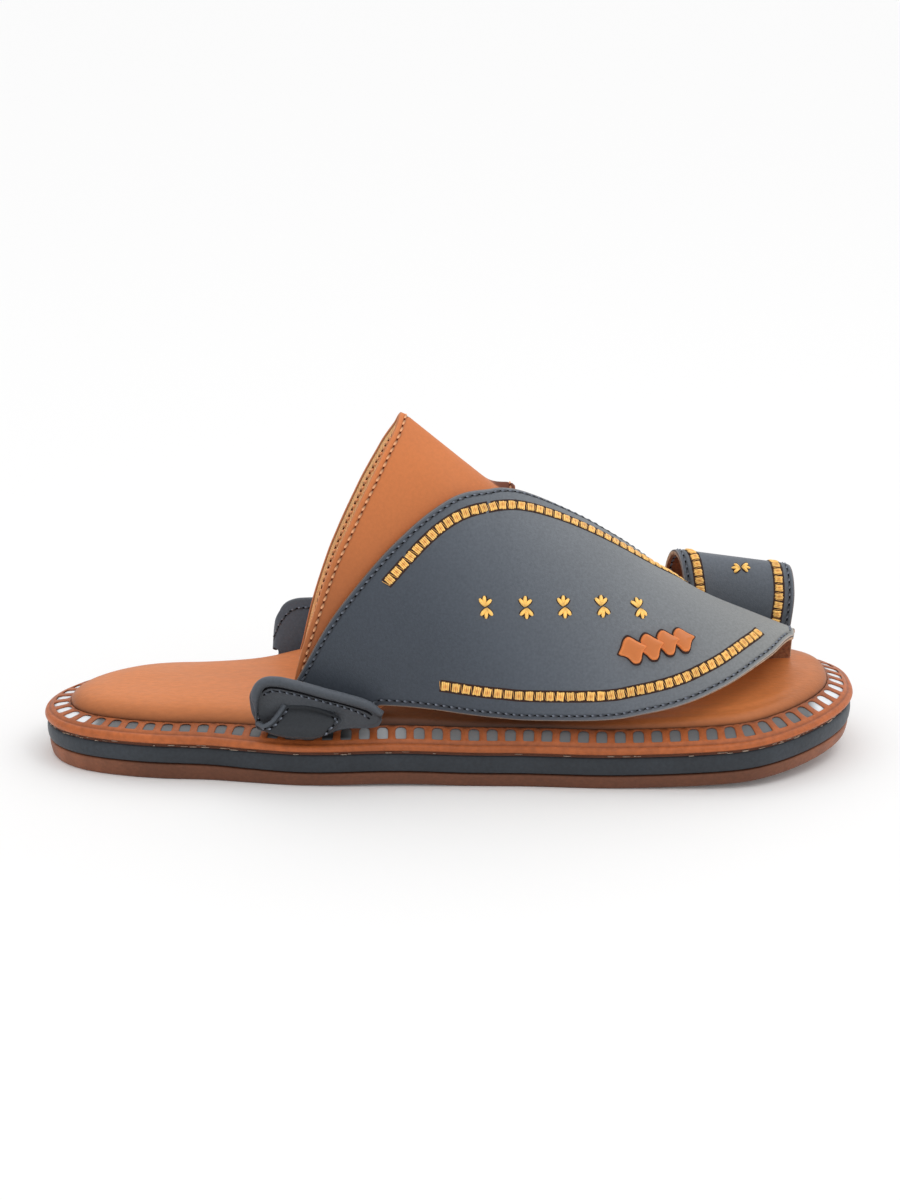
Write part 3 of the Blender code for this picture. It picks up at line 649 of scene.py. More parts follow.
def skin(x, turn, out, inner="medial"):  # the last's surface moved outwards
    forward = lastPoint(x + 0.001, turn, inner) - lastPoint(x - 0.001, turn, inner)
    after, before = np.minimum(turn + 0.01, 1), np.maximum(turn - 0.01, -1)
    over = lastPoint(x, after, inner) - lastPoint(x, before, inner)
    return lastPoint(x, turn, inner) + unit(np.cross(forward, over)) * out


def eased(count, squeeze=0.75):  # steps from 0 to 1, closer together at both ends
    t = np.linspace(0, 1, count + 1)
    return t - squeeze * np.sin(math.tau * t) / math.tau


def gridNormals(grid, inside):
    normal = unit(np.cross(np.gradient(grid, axis=0), np.gradient(grid, axis=1)))
    return normal if np.sum(normal * (grid - np.asarray(inside))) > 0 else -normal


def seat(tree, points):  # nearest points on a surface, with its normals
    found = [tree.find_nearest(Vector(p)) for p in points]
    return np.array([f[0] for f in found]), np.array([f[1] for f in found])


def surfaceTree(grid, normal):  # a surface to lay threads on, facing the way its normals do
    faces = quads(*grid.shape[:2])
    if np.sum(np.cross(np.gradient(grid, axis=0), np.gradient(grid, axis=1)) * normal) < 0:
        faces = faces[:, ::-1]
    return BVHTree.FromPolygons(grid.reshape(-1, 3).tolist(), faces.tolist())


strapSizes = {
    "wall": 0.0022, "wingOut": 0.0028, "edgeRound": 0.00045, "liningOut": 0.00030, "stitchIn": 0.0014,
    "pressDeep": 0.00026, "pressWide": 0.00055, "pressDark": 0.45, "bevel": 0.00030, "bevelWide": 0.0006,
    "edgeHighlight": (0.12, 0.0010), "cutSteps": (0.62, 0.15, -0.15, -0.70), "linePoints": 400,
}


def sheetPiece(name, grid, wall, looks, inside, node=None, shade=None,
               stitchIn=strapSizes["stitchIn"], liningBand=None):
    # a leather sheet with its lining: outer face, lining, and a cut edge of two layers
    rows, columns = grid.shape[:2]
    normal = gridNormals(grid, inside)
    i = np.concatenate([np.arange(rows), np.full(columns - 2, rows - 1), np.arange(rows)[::-1],
                        np.zeros(columns - 2, int)])
    j = np.concatenate([np.zeros(rows, int), np.arange(1, columns - 1), np.full(rows, columns - 1),
                        np.arange(1, columns - 1)[::-1]])
    edge = grid[i, j]
    dense = np.vstack([edge * (1 - t) + np.roll(edge, -1, 0) * t for t in (0, 0.25, 0.5, 0.75)])
    near = KDTree(len(dense))
    for k, p in enumerate(dense):
        near.insert(p, k)
    near.balance()
    deep = np.array([near.find(p)[2] for p in grid.reshape(-1, 3)]).reshape(rows, columns)
    pressed = bell(deep, stitchIn, strapSizes["pressWide"])
    bevel = bell(deep, 0, strapSizes["bevelWide"])
    face = grid - normal * (strapSizes["pressDeep"] * pressed + strapSizes["bevel"] * bevel)[..., None]
    lining = grid - normal * wall
    away = unit(np.cross(np.roll(edge, -1, 0) - np.roll(edge, 1, 0), normal[i, j]))
    within = grid[i + (i == 0) - (i == rows - 1), j + (j == 0) - (j == columns - 1)]
    away *= np.sign(np.sum(away * (edge - within), -1, keepdims=True))
    cut = []
    for share in strapSizes["cutSteps"]:
        bulge = strapSizes["edgeRound"] * math.sqrt(1 - share * share)
        bulge = bulge + strapSizes["liningOut"] * (share < 0) * (j == 0)
        cut.append(edge - normal[i, j] * wall * (0.5 - 0.5 * share) + away * bulge[:, None])
    verts = np.vstack([face.reshape(-1, 3), lining.reshape(-1, 3)] + cut)
    size = rows * columns
    loops = [i * columns + j] + [2 * size + k * len(i) + np.arange(len(i))
                                 for k in range(len(cut))] + [size + i * columns + j]
    faces = [quads(rows, columns), quads(rows, columns, first=size)]
    zones = [np.zeros(len(faces[0]), int), np.ones(len(faces[1]), int)]
    for k, (a, b) in enumerate(zip(loops, loops[1:])):
        faces.append(np.stack([a, np.roll(a, -1), np.roll(b, -1), b], -1))
        zones.append(np.full(len(a), 2 if k < 2 else 3))
    # painted shade in the pressed groove of the stitches, and a painted highlight along the cut edges
    pale, wide = strapSizes["edgeHighlight"]
    tone = 1 - strapSizes["pressDark"] * pressed + pale * bell(deep, 0, wide)
    colour = np.ones((len(verts), 3))
    colour[:size] = tone.reshape(-1, 1)
    if shade is not None:
        colour[:size] *= shade(face.reshape(-1, 3))
    if liningBand is not None:
        wide, bandTone, rest = liningBand
        colour[size:2 * size] = np.where(deep.reshape(-1, 1) < wide, bandTone, rest)
    piece = newPiece(name, verts, np.vstack(faces), looks, np.concatenate(zones), colour)
    if node:
        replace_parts(piece, node)
    return SimpleNamespace(face=face, normal=normal, tree=surfaceTree(face, normal),
                           liningTree=surfaceTree(lining, -normal))


# threads
def threads(name, routes, ups, widths, look, sides=6, flat=1.0, tone=None):
    # each route is a short row of points, made into a round strand with closed ends
    routes = np.asarray(routes, float)
    count, steps = routes.shape[:2]
    ways = unit(np.gradient(routes, axis=1))
    ups = np.broadcast_to(np.asarray(ups, float)[:, None] if np.ndim(ups) == 2 else ups, routes.shape)
    across = unit(np.cross(ways, ups))
    raised = np.cross(across, ways)
    widths = np.broadcast_to(np.asarray(widths, float), (count, steps))[..., None, None]
    angle = math.tau * np.arange(sides)[:, None] / sides
    ringOut = across[:, :, None] * np.cos(angle) + raised[:, :, None] * np.sin(angle) * flat
    rings = routes[:, :, None] + widths * ringOut
    one = quads(steps, sides, wrapColumns=True)
    starts = np.arange(count) * steps * sides
    faces = (starts[:, None, None] + one).reshape(-1, 4).tolist()
    for s in starts:
        faces.append(list(range(s, s + sides)))
        faces.append(list(range(s + steps * sides - 1, s + (steps - 1) * sides - 1, -1)))
    if tone is not None:  # a tone for each step, or for each step and side
        tone = np.tile(np.ravel(tone) if np.ndim(tone) == 2 else np.repeat(tone, sides), count)[:, None]
    return newPiece(name, rings.reshape(-1, 3), faces, (look,), None, tone)


plateDeep = 0.0003  # how far the small plates are sunk into the leather


def plates(name, centres, ways, ups, half, look, rise=0.00005, sides=8):
    # small flat spots laid on a surface
    across = unit(np.cross(ups, ways))
    ways = unit(np.cross(across, ups))
    verts, faces = [], []
    angle = math.tau * (np.arange(sides) + 0.5) / sides
    grow = 1.414 if sides == 4 else 1.08  # its sides, not its corners, reach the half size
    for c, w, a, u in zip(centres, ways, across, ups):
        first = len(verts)
        for layer in (-plateDeep, rise):
            for t in angle:
                verts.append(c + (w * half[0] * math.cos(t) + a * half[1] * math.sin(t)) * grow + u * layer)
        faces.extend(quads(2, sides, wrapColumns=True, first=first).tolist())
        faces.append(list(range(first + sides, first + 2 * sides)))
        faces.append(list(range(first + sides - 1, first - 1, -1)))
    return newPiece(name, verts, faces, (look,))


def walk(line):  # a place at any length along a line of points
    lengths = np.concatenate([[0], np.cumsum(np.linalg.norm(np.diff(line, axis=0), axis=1))])

    def at(s):
        return np.stack([np.interp(s, lengths, line[:, k]) for k in range(3)], -1)

    return lengths[-1], at


def evenOut(line, times):  # smooths out small bends
    for _ in range(times):
        line[1:-1] = 0.25 * line[:-2] + 0.5 * line[1:-1] + 0.25 * line[2:]
    return line


def edgeLine(sheet, side, offset, trim=(0.0, 0.0), keep=None, even=0, toward=None):
    # a line on the sheet's face, a fixed way in from one of its edges
    pick = {"low": np.s_[:, 0], "high": np.s_[:, -1], "back": np.s_[0, :], "front": np.s_[-1, :]}[side]
    nextIn = {"low": np.s_[:, 4], "high": np.s_[:, -5], "back": np.s_[4, :], "front": np.s_[-5, :]}[side]
    edge, normal = sheet.face[pick], sheet.normal[pick]
    inwards = unit(np.cross(np.gradient(edge, axis=0), normal))
    within = sheet.face[nextIn] if toward is None else toward
    inwards *= np.sign(np.sum(inwards * (within - edge), -1, keepdims=True))
    inset = np.reshape(offset(edge) if callable(offset) else offset, (-1, 1))
    line, _ = seat(sheet.tree, edge + inwards * inset)
    if keep is not None:
        line = line[keep(line)]
    total, at = walk(line)
    line = at(np.linspace(trim[0], total - trim[1], strapSizes["linePoints"]))
    return evenOut(line, even)


stitchSizes = {
    "pitch": 0.0027, "long": 0.0020, "thick": 0.00037, "high": 0.00024, "slant": 0.00022,
    # tone: a painted highlight at one end of each stitch, darker along the rest
    "hole": (0.00062, 0.00032), "tone": (1.7, 1.4, 0.45, 0.22, 0.15), "steps": (-1.0, -0.6, 0.0, 0.6, 1.0),
    "rises": (-0.9, 0.55, 1.0, 0.55, -0.9), "taper": (0.55, 0.95, 1.0, 0.95, 0.55),
}


def stitchLine(tree, line, pitch):
    # stitches along a line on a surface, with the needle holes between them
    total, at = walk(line)
    count = max(1, int(total / pitch))
    centre = (np.arange(count) + 0.5) * total / count
    reach = stitchSizes["long"] / stitchSizes["pitch"] * pitch / 2
    steps = np.array(stitchSizes["steps"])
    rises = np.array(stitchSizes["rises"]) * stitchSizes["high"]
    spots, ups = seat(tree, at(centre[:, None] + steps * reach).reshape(-1, 3))
    spots, ups = spots.reshape(count, 5, 3), ups.reshape(count, 5, 3)
    ways = unit(spots[:, -1] - spots[:, 0])
    across = np.cross(ways, ups[:, 2])
    routes = spots + ups * rises[:, None] + across[:, None] * (steps * stitchSizes["slant"])[:, None]
    holes, holeUps = seat(tree, at(np.arange(count + 1) * total / count))
    holeWays = np.vstack([ways, ways[-1:]])
    return routes, ups[:, 2], holes, holeUps, holeWays


def sewEdges(name, jobs, look, pitch=stitchSizes["pitch"], hole=holesAndCreaseShade, tone=stitchSizes["tone"],
             thick=stitchSizes["thick"]):
    rows = [stitchLine(tree, line, pitch) for tree, line in jobs]
    routes, ups, holes, holeUps, holeWays = (np.concatenate(column) for column in zip(*rows))
    widths = thick * np.array(stitchSizes["taper"])
    threads(name + "Stitches", routes, ups, widths, look, tone=tone)
    plates(name + "Holes", holes, holeWays, holeUps, stitchSizes["hole"], hole)


goldSizes = {
    "fill": 0.76, "across": 0.0033, "high": 0.00060, "strands": 4, "groove": 0.00010, "tie": 0.00012,
    "lean": 7, "steps": (20, 10), "shadow": 0.00048, "shadowRise": 0.00004, "sink": 0.0002,
    "ragged": (0.90, 1.08), "core": 0.5, "tone": (1.48, 1.48, 1.65), "coreTone": (0.48, 0.80, 1.15),
    "strandTone": (0.80, 0.28), "vary": (0.88, 1.10), "tieRises": (-0.15, 0.35, 0.5, 0.35, -0.15),
    "tieAcross": 0.46, "tieSlant": 0.00035,
}


def spaced(total, pitch):  # places along a line, with a pitch that changes from start to end
    first, final = pitch
    mean = 0.5 * (first + final)
    count = max(1, round(total / mean))
    k = (np.arange(count) + 0.5) / count
    return (first * k + 0.5 * (final - first) * k * k) / mean * total, first + (final - first) * k


def goldBlock(spot, way, up, long, size):
    # one satin pillow of strands laid side by side
    m, n = size["steps"]
    lean = math.radians(chance.uniform(-size["lean"], size["lean"]))
    across = np.cross(up, way)
    cos, sin = math.cos(lean), math.sin(lean)
    way, across = way * cos + across * sin, across * cos - way * sin
    s, t = np.meshgrid(np.linspace(-1, 1, m + 1), np.linspace(-1, 1, n + 1), indexing="ij")
    pillow = np.sqrt(np.clip((1 - s ** 4) * (1 - t ** 4), 0, 1))
    strand = np.cos(math.pi * size["strands"] * (s + 1) + math.pi)
    ragged = chance.uniform(*size["ragged"], size["strands"])
    reach = ragged[np.clip(((s + 1) / 2 * size["strands"]).astype(int), 0, size["strands"] - 1)]
    high = size["high"] * pillow + size["groove"] * strand * pillow - size["sink"] * (pillow < 0.01)
    flat = (s * long / 2)[..., None] * way + (t * reach * size["across"] / 2)[..., None] * across
    # deeper in the middle, paler where the strands turn down, with painted light on the strands' ridges and
    # painted shade in their grooves
    core = bell(s, 0, size["core"]) * bell(t, 0, size["core"])
    light, change = size["strandTone"]
    paint = np.array(size["tone"]) - core[..., None] * size["coreTone"]
    paint = paint * (light + change * strand[..., None]) * chance.uniform(*size["vary"])
    return (spot + flat + high[..., None] * up).reshape(-1, 3), paint.reshape(-1, 3)


def goldRows(name, jobs, size=goldSizes):
    # satin blocks in a row, with a thin slanting tie between them, on dark plates of painted shadow
    verts, paints, faces, ties, tieUps = [], [], [], [], []
    centres, ways, ups = [], [], []
    m, n = size["steps"]
    grid = np.arange((m + 1) * (n + 1)).reshape(m + 1, n + 1)
    hem = np.concatenate([grid[:-1, 0], grid[-1, :-1], grid[:0:-1, -1], grid[0, :0:-1]])
    steps = np.linspace(-1, 1, 5)
    rises = np.array(size["tieRises"]) * size["high"]
    longest = 0
    for tree, line, pitch in jobs:
        total, at = walk(line)
        s, pitches = spaced(total, pitch)
        longest = max(longest, pitches.max())
        spots, up = seat(tree, at(s))
        way = at(s + 0.001) - at(s - 0.001)
        way = unit(way - up * np.sum(way * up, -1, keepdims=True))
        for k in range(len(s)):
            first = len(verts) * grid.size
            points, paint = goldBlock(spots[k], way[k], up[k], pitches[k] * size["fill"], size)
            verts.append(points)
            paints.append(paint)
            faces.extend(quads(m + 1, n + 1, first=first).tolist())
            faces.append((first + hem).tolist())
        across = np.cross(up, way)
        gaps = (spots - way * pitches[:, None] * 0.5)[:, None]
        ties.append(gaps + across[:, None] * steps[:, None] * size["across"] * size["tieAcross"]
                    - way[:, None] * steps[:, None] * size["tieSlant"] + up[:, None] * rises[:, None])
        tieUps.append(up)
        centres.append(spots)
        ways.append(way)
        ups.append(up)
    newPiece(name + "Gold", np.vstack(verts), faces, (goldThread,), None, np.vstack(paints))
    threads(name + "GoldTies", np.concatenate(ties), np.concatenate(tieUps), size["tie"], paleGold,
            5)
    half = (longest * size["fill"] / 2 + size["shadow"], size["across"] / 2 + size["shadow"])
    plates(name + "GoldShadows", np.concatenate(centres), np.concatenate(ways), np.concatenate(ups), half,
           dyedEdgeAndShadow, size["shadowRise"], 4)


starSizes = {
    "petal": 0.0035, "side": 0.0031, "spread": 38, "thick": 0.00062, "high": 0.00045, "shift": 0.00035,
    "rim": 0.00042, "tone": (0.80, 1.05, 1.30, 1.40, 1.2), "rises": (0.2, 0.8, 1.0, 0.8, -0.3),
    "taper": (0.45, 0.8, 1.0, 1.0, 0.7), "apart": 0.0003, "sway": 5, "shadowDrop": 0.00004, "shadowFlat": 0.15,
}


def stars(name, tree, spots, upwards, scale=1.0):
    # two small fans of three petals, one up and one down, on thin dark strands of painted shadow
    spots, ups = seat(tree, spots)
    routes, routeUps = [], []
    steps = np.linspace(0, 1, 5)
    rises = np.array(starSizes["rises"]) * starSizes["high"]
    for spot, up, upward in zip(spots, ups, upwards):
        right = unit(np.cross(upward, up))
        upright = np.cross(up, right)
        for fan in (1, -1):
            start = spot + upright * fan * starSizes["apart"] - right * fan * starSizes["shift"]
            for lean in (-1, 0, 1):
                sway = chance.uniform(-starSizes["sway"], starSizes["sway"])
                angle = math.radians(starSizes["spread"] * lean + sway)
                reach = scale * (starSizes["petal"] if lean == 0 else starSizes["side"])
                way = upright * fan * math.cos(angle) + right * math.sin(angle)
                routes.append(start + way * (steps * reach)[:, None] + up * rises[:, None])
                routeUps.append(up)
    widths = scale * starSizes["thick"] * np.array(starSizes["taper"])
    threads(name, routes, routeUps, widths, goldThread, 8, 0.75, starSizes["tone"])
    shadowRoutes = np.array(routes) - np.array(routeUps)[:, None] * (rises[:, None] + starSizes["shadowDrop"])
    threads(name + "Shadows", shadowRoutes, routeUps, widths + starSizes["rim"], dyedEdgeAndShadow, 8,
            starSizes["shadowFlat"])


slateLooks = (slateLeather, suedeLining, paleRim, rawEdge)
tanLooks = (tanLeather, beigeLining, tanEdge, tanEdge)
earLooks = (slateLeather,) * 4

# saddle
vampSizes = {
    "turn": (0, 0.18, 0.36, 0.53, 0.65, 0.72, 0.86, 1.0),
    "back": (-0.0160, -0.0181, -0.0241, -0.0332, -0.0411, -0.0452, -0.0525, -0.0568),
    "innerBack": (-0.0160, -0.0182, -0.0242, -0.0327, -0.0398, -0.0440, -0.0508, -0.0552),
    "front": (0.0230, 0.0225, 0.0205, 0.0165, 0.0105, 0.0040, -0.0120, -0.0270), "peak": (-0.0160, 0.1235),
    "ridgeFall": 0.827, "lipStart": 0.02, "lipFull": 0.12, "lip": (0.0222, 0.0045, 0.0020),
    # lipTone and shade: painted shade on the far lip and towards the foot
    "lipTone": (0.26, 0.20, 0.20), "lipFrom": (0.0120, 0.004), "lipSide": (0.0008, 0.0012),
    # thread: a painted highlight at one end of each stitch
    "shade": (0.66, 0.42, 0.055, 0.055), "thread": (1.35, 1.25, 0.8, 0.4, 0.3), "grid": (70, 220),
    "stitchIn": 0.0017, "pitch": 0.0028, "thick": 0.00042,
    # the lining's tones: a darker band along its edge, and painted light brightening the rest
    "lining": (0.0003, (0.50, 0.38, 0.30), (1.35, 1.30, 1.20)),
}


def vampGrid():
    u, v = np.meshgrid(eased(vampSizes["grid"][0]), np.linspace(0, 1, vampSizes["grid"][1] + 1),
                       indexing="ij")
    turn = 2 * v - 1
    flat = np.abs(turn)
    back = np.where(turn < 0, smooth(vampSizes["turn"], vampSizes["back"], flat),
                    smooth(vampSizes["turn"], vampSizes["innerBack"], flat))
    front = smooth(vampSizes["turn"], vampSizes["front"], flat)
    x = back + (front - back) * u
    grid = lastPoint(x, turn)
    # the near half runs straight on under the wing, and the far half keeps its raised lip
    straight = vampSizes["peak"][1] - vampSizes["ridgeFall"] * (x - vampSizes["peak"][0])
    raised = np.maximum(0, smooth(last["x"], last["crown"], x) - straight)
    far = ramp(turn, vampSizes["lipStart"], vampSizes["lipFull"] - vampSizes["lipStart"])
    far = far * far * (3 - 2 * far)
    where, wide, high = vampSizes["lip"]
    grid[..., 2] += far * high * bell(x, where, wide) - raised * (1 - far) * np.cos(flat * math.pi / 2)
    return grid


def vampShade(verts):  # painted shade: darker towards the foot, and dark on the far lip
    foot, change, low, reach = vampSizes["shade"]
    tone = foot + change * ramp(verts[:, 2:], low, reach)
    lip = ramp(verts[:, :1], *vampSizes["lipFrom"]) * ramp(verts[:, 1:2], *vampSizes["lipSide"])
    return tone * (1 + lip * (np.array(vampSizes["lipTone"]) - 1))


vamp = sheetPiece("vampSaddle", vampGrid(), strapSizes["wall"], tanLooks, (-0.02, 0, 0.03),
                  "vamp", vampShade, vampSizes["stitchIn"], vampSizes["lining"])
vampLines = [edgeLine(vamp, side, vampSizes["stitchIn"], (0.002, 0.002)) for side in ("back", "front")]
sewEdges("vamp", [(vamp.tree, line) for line in vampLines] + [(vamp.liningTree, vampLines[0])], tanThread,
         vampSizes["pitch"], needleBrown, vampSizes["thread"], vampSizes["thick"])
print("saddle sewn")

# outer wing
wingSizes = {
    "x": (-0.0540, -0.0430, -0.0300, -0.0240, -0.0160, -0.0050, 0.0050, 0.0160, 0.0260, 0.0440, 0.0570,
          0.0650, 0.0740, 0.0840, 0.0910, 0.0990, 0.1110, 0.1200),
    "low": (-1.000, -1.000, -0.990, -0.952, -0.954, -0.962, -0.975, -0.988, -0.996, -0.993, -0.984, -0.966,
            -0.938, -0.885, -0.824, -0.727, -0.484, -0.120),
    "high": (-0.905, -0.775, -0.652, -0.594, -0.5145, -0.399, -0.277, -0.150, -0.078, -0.018, 0.020, 0.090,
             0.270, 0.640, 1.0, 1.0, 1.0, 1.0),
    "grid": (220, 96), "frontLean": (0.100, 0.0002, 0.0034), "goldLowIn": 0.0085,
    "goldInAt": (-0.0226, -0.0120, -0.0046, 0.0064, 0.0185, 0.0350),
    "goldIn": (0.0068, 0.0060, 0.0056, 0.0060, 0.0069, 0.0075), "goldHigh": (-0.0226, 0.0915),
    "goldLow": (-0.0045, 0.1086), "pitchHigh": (0.0036, 0.0029), "pitchLow": (0.0037, 0.0031),
    "goldEven": 500, "ridgeTone": (0.5, 0.4, 0.3, 0.2, 0.2), "ridgeThick": 0.00024, "ridgeFrom": 230,
    "shadeSlope": (25.0, 18.7, 0.88), "shade": (0.78, 0.46, 0.25), "cool": (0.94, 1.0, 1.08),
    "paintedLight": (0.070, 0.0, -0.100), "paintedLightFrom": 0.9, "leanFrom": (-0.16, 0.5),
    "starX": (0.0123, 0.0260, 0.0389, 0.0517, 0.0641), "starTurn": (-0.632, -0.619, -0.588, -0.539, -0.474),
}


def wingGrid(size, inner):
    u, v = np.meshgrid(eased(size["grid"][0], 0.5), eased(size["grid"][1]), indexing="ij")
    x = size["x"][0] + (size["x"][-1] - size["x"][0]) * u
    low = smooth(size["x"], size["low"], x)
    high = smooth(size["x"], size["high"], x)
    turn = low + (high - low) * v
    if "frontLean" in size:  # the front end reaches further at the toe post than at its tip
        start, tip, post = size["frontLean"]
        share = ramp(x, start, size["x"][-1] - start)
        x = x + share ** 2 * (tip + (post - tip) * ramp(turn, *size["leanFrom"]))
    return skin(x, turn, strapSizes["wingOut"], inner)


def wingShade(verts):  # painted light and shade: bluer and darker at the low rear, lighter and warmer at the upper front
    alongX, alongZ, start = wingSizes["shadeSlope"]
    least, change, soft = wingSizes["shade"]
    past = alongX * verts[:, :1] + alongZ * verts[:, 2:] - start
    tone = least + change * (past + np.sqrt(past ** 2 + soft))
    return tone * (np.array(wingSizes["cool"]) + (tone - wingSizes["paintedLightFrom"]) * wingSizes["paintedLight"])


wingLateral = sheetPiece("wingLateral", wingGrid(wingSizes, "post"), strapSizes["wall"], slateLooks,
                         (0.03, 0, 0.03), "wing_lateral", wingShade)
wingLines = [edgeLine(wingLateral, side, strapSizes["stitchIn"], (0.003, 0.003))
             for side in ("low", "high", "front")]
ridgeFrom = wingSizes["ridgeFrom"]  # thinner stitches from here, where the edge turns over the ridge
wingJobs = [(wingLateral.tree, line) for line in (wingLines[0], wingLines[1][:ridgeFrom], wingLines[2])]
wingJobs.append((wingLateral.liningTree, wingLines[0]))
sewEdges("wingLateral", wingJobs, navyThread)
sewEdges("wingRidge", [(wingLateral.tree, wingLines[1][ridgeFrom - 1:])], navyThread,
         tone=wingSizes["ridgeTone"], thick=wingSizes["ridgeThick"])


def between(low, high):
    return lambda line: (line[:, 0] > low) & (line[:, 0] < high)


def highGold(edge):  # the upper row comes nearer to the edge on the rear slope
    return np.interp(edge[:, 0], wingSizes["goldInAt"], wingSizes["goldIn"])


goldRows("wingLateral", [
    (wingLateral.tree, edgeLine(wingLateral, "high", highGold, keep=between(*wingSizes["goldHigh"]),
                                even=wingSizes["goldEven"]),
     wingSizes["pitchHigh"]),
    (wingLateral.tree, edgeLine(wingLateral, "low", wingSizes["goldLowIn"],
                                keep=between(*wingSizes["goldLow"])),
     wingSizes["pitchLow"])])
starSpots = skin(np.array(wingSizes["starX"]), np.array(wingSizes["starTurn"]), strapSizes["wingOut"],
                 "post")
stars("wingStars", wingLateral.tree, starSpots, np.tile((0.0, 0.0, 1.0), (len(starSpots), 1)))
print("outer wing sewn")

# inner wing, plainer, with one row of gold
innerWingSizes = {
    "x": (-0.0455, -0.0400, -0.0300, -0.0160, 0.0000, 0.0160, 0.0310, 0.0450, 0.0570, 0.0650),
    "low": (1.000, 1.000, 0.985, 0.930, 0.940, 0.955, 0.960, 0.950, 0.920, 0.880),
    "high": (0.905, 0.810, 0.690, 0.590, 0.490, 0.440, 0.470, 0.580, 0.730, 0.830), "grid": (140, 56),
    "goldIn": 0.0075, "gold": (-0.0226, 0.0560),
}
wingMedial = sheetPiece("wingMedial", wingGrid(innerWingSizes, "medial"), strapSizes["wall"], slateLooks,
                        (0.0, 0, 0.03), "wing_medial", wingShade)
innerLines = [edgeLine(wingMedial, side, strapSizes["stitchIn"], (0.003, 0.003))
              for side in ("low", "high")]
sewEdges("wingMedial", [(wingMedial.tree, line) for line in innerLines], navyThread)
innerGold = edgeLine(wingMedial, "high", innerWingSizes["goldIn"], keep=between(*innerWingSizes["gold"]),
                     even=wingSizes["goldEven"])
goldRows("wingMedial", [(wingMedial.tree, innerGold, wingSizes["pitchHigh"])])
print("inner wing sewn")

# toe loop
loopSizes = {
    "side": 0.0290, "outer": 0.0172, "inner": 0.0425, "round": 2.3, "crown": (0.0651, 0.0594),
    "turn": (-1.0, -0.5, 0.0, 0.5, 1.0), "back": (0.0876, 0.0853, 0.0827, 0.0797, 0.0787),
    "front": (0.1222, 0.1247, 0.1238, 0.1210, 0.1185), "grid": (56, 150), "goldIn": (0.0052, 0.0053),
    "star": (0.535, -0.25), "starWay": (1.0, 0.0, -0.15), "starScale": 0.85, "pitch": (0.0031, 0.0031),
    "goldAcross": 0.0031, "paintedLight": (1.15, 0.75, 0.042, 0.020),
}


def loopPoint(u, turn):
    back = smooth(loopSizes["turn"], loopSizes["back"], turn)
    front = smooth(loopSizes["turn"], loopSizes["front"], turn)
    x = back + (front - back) * u
    foot = lift(x) + last["postFoot"]
    crown = loopSizes["crown"][0] + (loopSizes["crown"][1] - loopSizes["crown"][0]) * u
    reach = np.where(turn < 0, loopSizes["outer"], loopSizes["inner"]) - loopSizes["side"]
    angle = np.abs(turn) * math.pi / 2
    across = np.sin(angle) ** (2 / loopSizes["round"])
    up = np.maximum(np.cos(angle), 0) ** (2 / loopSizes["round"])
    return np.stack([x, loopSizes["side"] + reach * across, foot + (crown - foot) * up], -1)


loopU, loopV = np.meshgrid(eased(loopSizes["grid"][0]), np.linspace(-1, 1, loopSizes["grid"][1] + 1),
                           indexing="ij")


def loopShade(verts):  # painted light: lighter on top
    least, change, low, reach = loopSizes["paintedLight"]
    return least + change * ramp(verts[:, 2:], low, reach)


toeLoop = sheetPiece("toeLoop", loopPoint(loopU, loopV), strapSizes["wall"], slateLooks,
                     (0.10, 0.029, 0.035), "toe_loop", loopShade)
loopLines = [edgeLine(toeLoop, side, strapSizes["stitchIn"], (0.002, 0.002)) for side in ("back", "front")]
sewEdges("toeLoop", [(tree, line) for tree in (toeLoop.tree, toeLoop.liningTree) for line in loopLines],
         navyThread)
goldRows("toeLoop", [(toeLoop.tree, edgeLine(toeLoop, side, inset, (0.004, 0.004)), loopSizes["pitch"])
                     for side, inset in zip(("back", "front"), loopSizes["goldIn"])],
         {**goldSizes, "across": loopSizes["goldAcross"]})
starU, starTurn = loopSizes["star"]
stars("loopStar", toeLoop.tree, loopPoint(np.array([starU]), np.array([starTurn])),
      np.array([loopSizes["starWay"]]), loopSizes["starScale"])
print("toe loop sewn")

# folded ears at the feet of the saddle
outerEar = {
    "x": (-0.0671, -0.0669, -0.0664, -0.0654, -0.0638, -0.0616, -0.0590, -0.0556, -0.0502, -0.0447, -0.0393,
          -0.0338, -0.0283, -0.0254, -0.0240),
    "foot": (0.0200, 0.0198, 0.0195, 0.0192, 0.0189, 0.0186, 0.0184, 0.0183, 0.0180, 0.0184, 0.0205, 0.0214,
             0.0213, 0.0219, 0.0238),
    "top": (0.0326, 0.0342, 0.0358, 0.0375, 0.0388, 0.0394, 0.0394, 0.0389, 0.0377, 0.0362, 0.0345, 0.0325,
            0.0301, 0.0279, 0.0262),
    "roll": 0.0018, "rollOut": 0.0001, "stitchIn": 0.0046, "sideIn": 0.0014, "lining": None,
    "rollFrom": 0.0205, "foldShift": 0.0,
}
innerEar = {
    "x": (-0.0637, -0.0636, -0.0634, -0.0631, -0.0627, -0.0620, -0.0609, -0.0586, -0.0551, -0.0480, -0.0400,
          -0.0300, -0.0225),
    "foot": (0.0238, 0.0230, 0.0222, 0.0214, 0.0207, 0.0199, 0.0193, 0.0188, 0.0184, 0.0184, 0.0190, 0.0218,
             0.0246),
    "top": (0.0246, 0.0270, 0.0297, 0.0323, 0.0348, 0.0370, 0.0389, 0.0409, 0.0418, 0.0420, 0.0404, 0.0352,
            0.0296),
    "roll": 0.0012, "rollOut": -0.0008, "stitchIn": 0.0027, "sideIn": None,
    "lining": (1.0, (1.25, 1.32, 1.42), 1.0), "rollFrom": 0.0268, "foldShift": 0.0040,
}
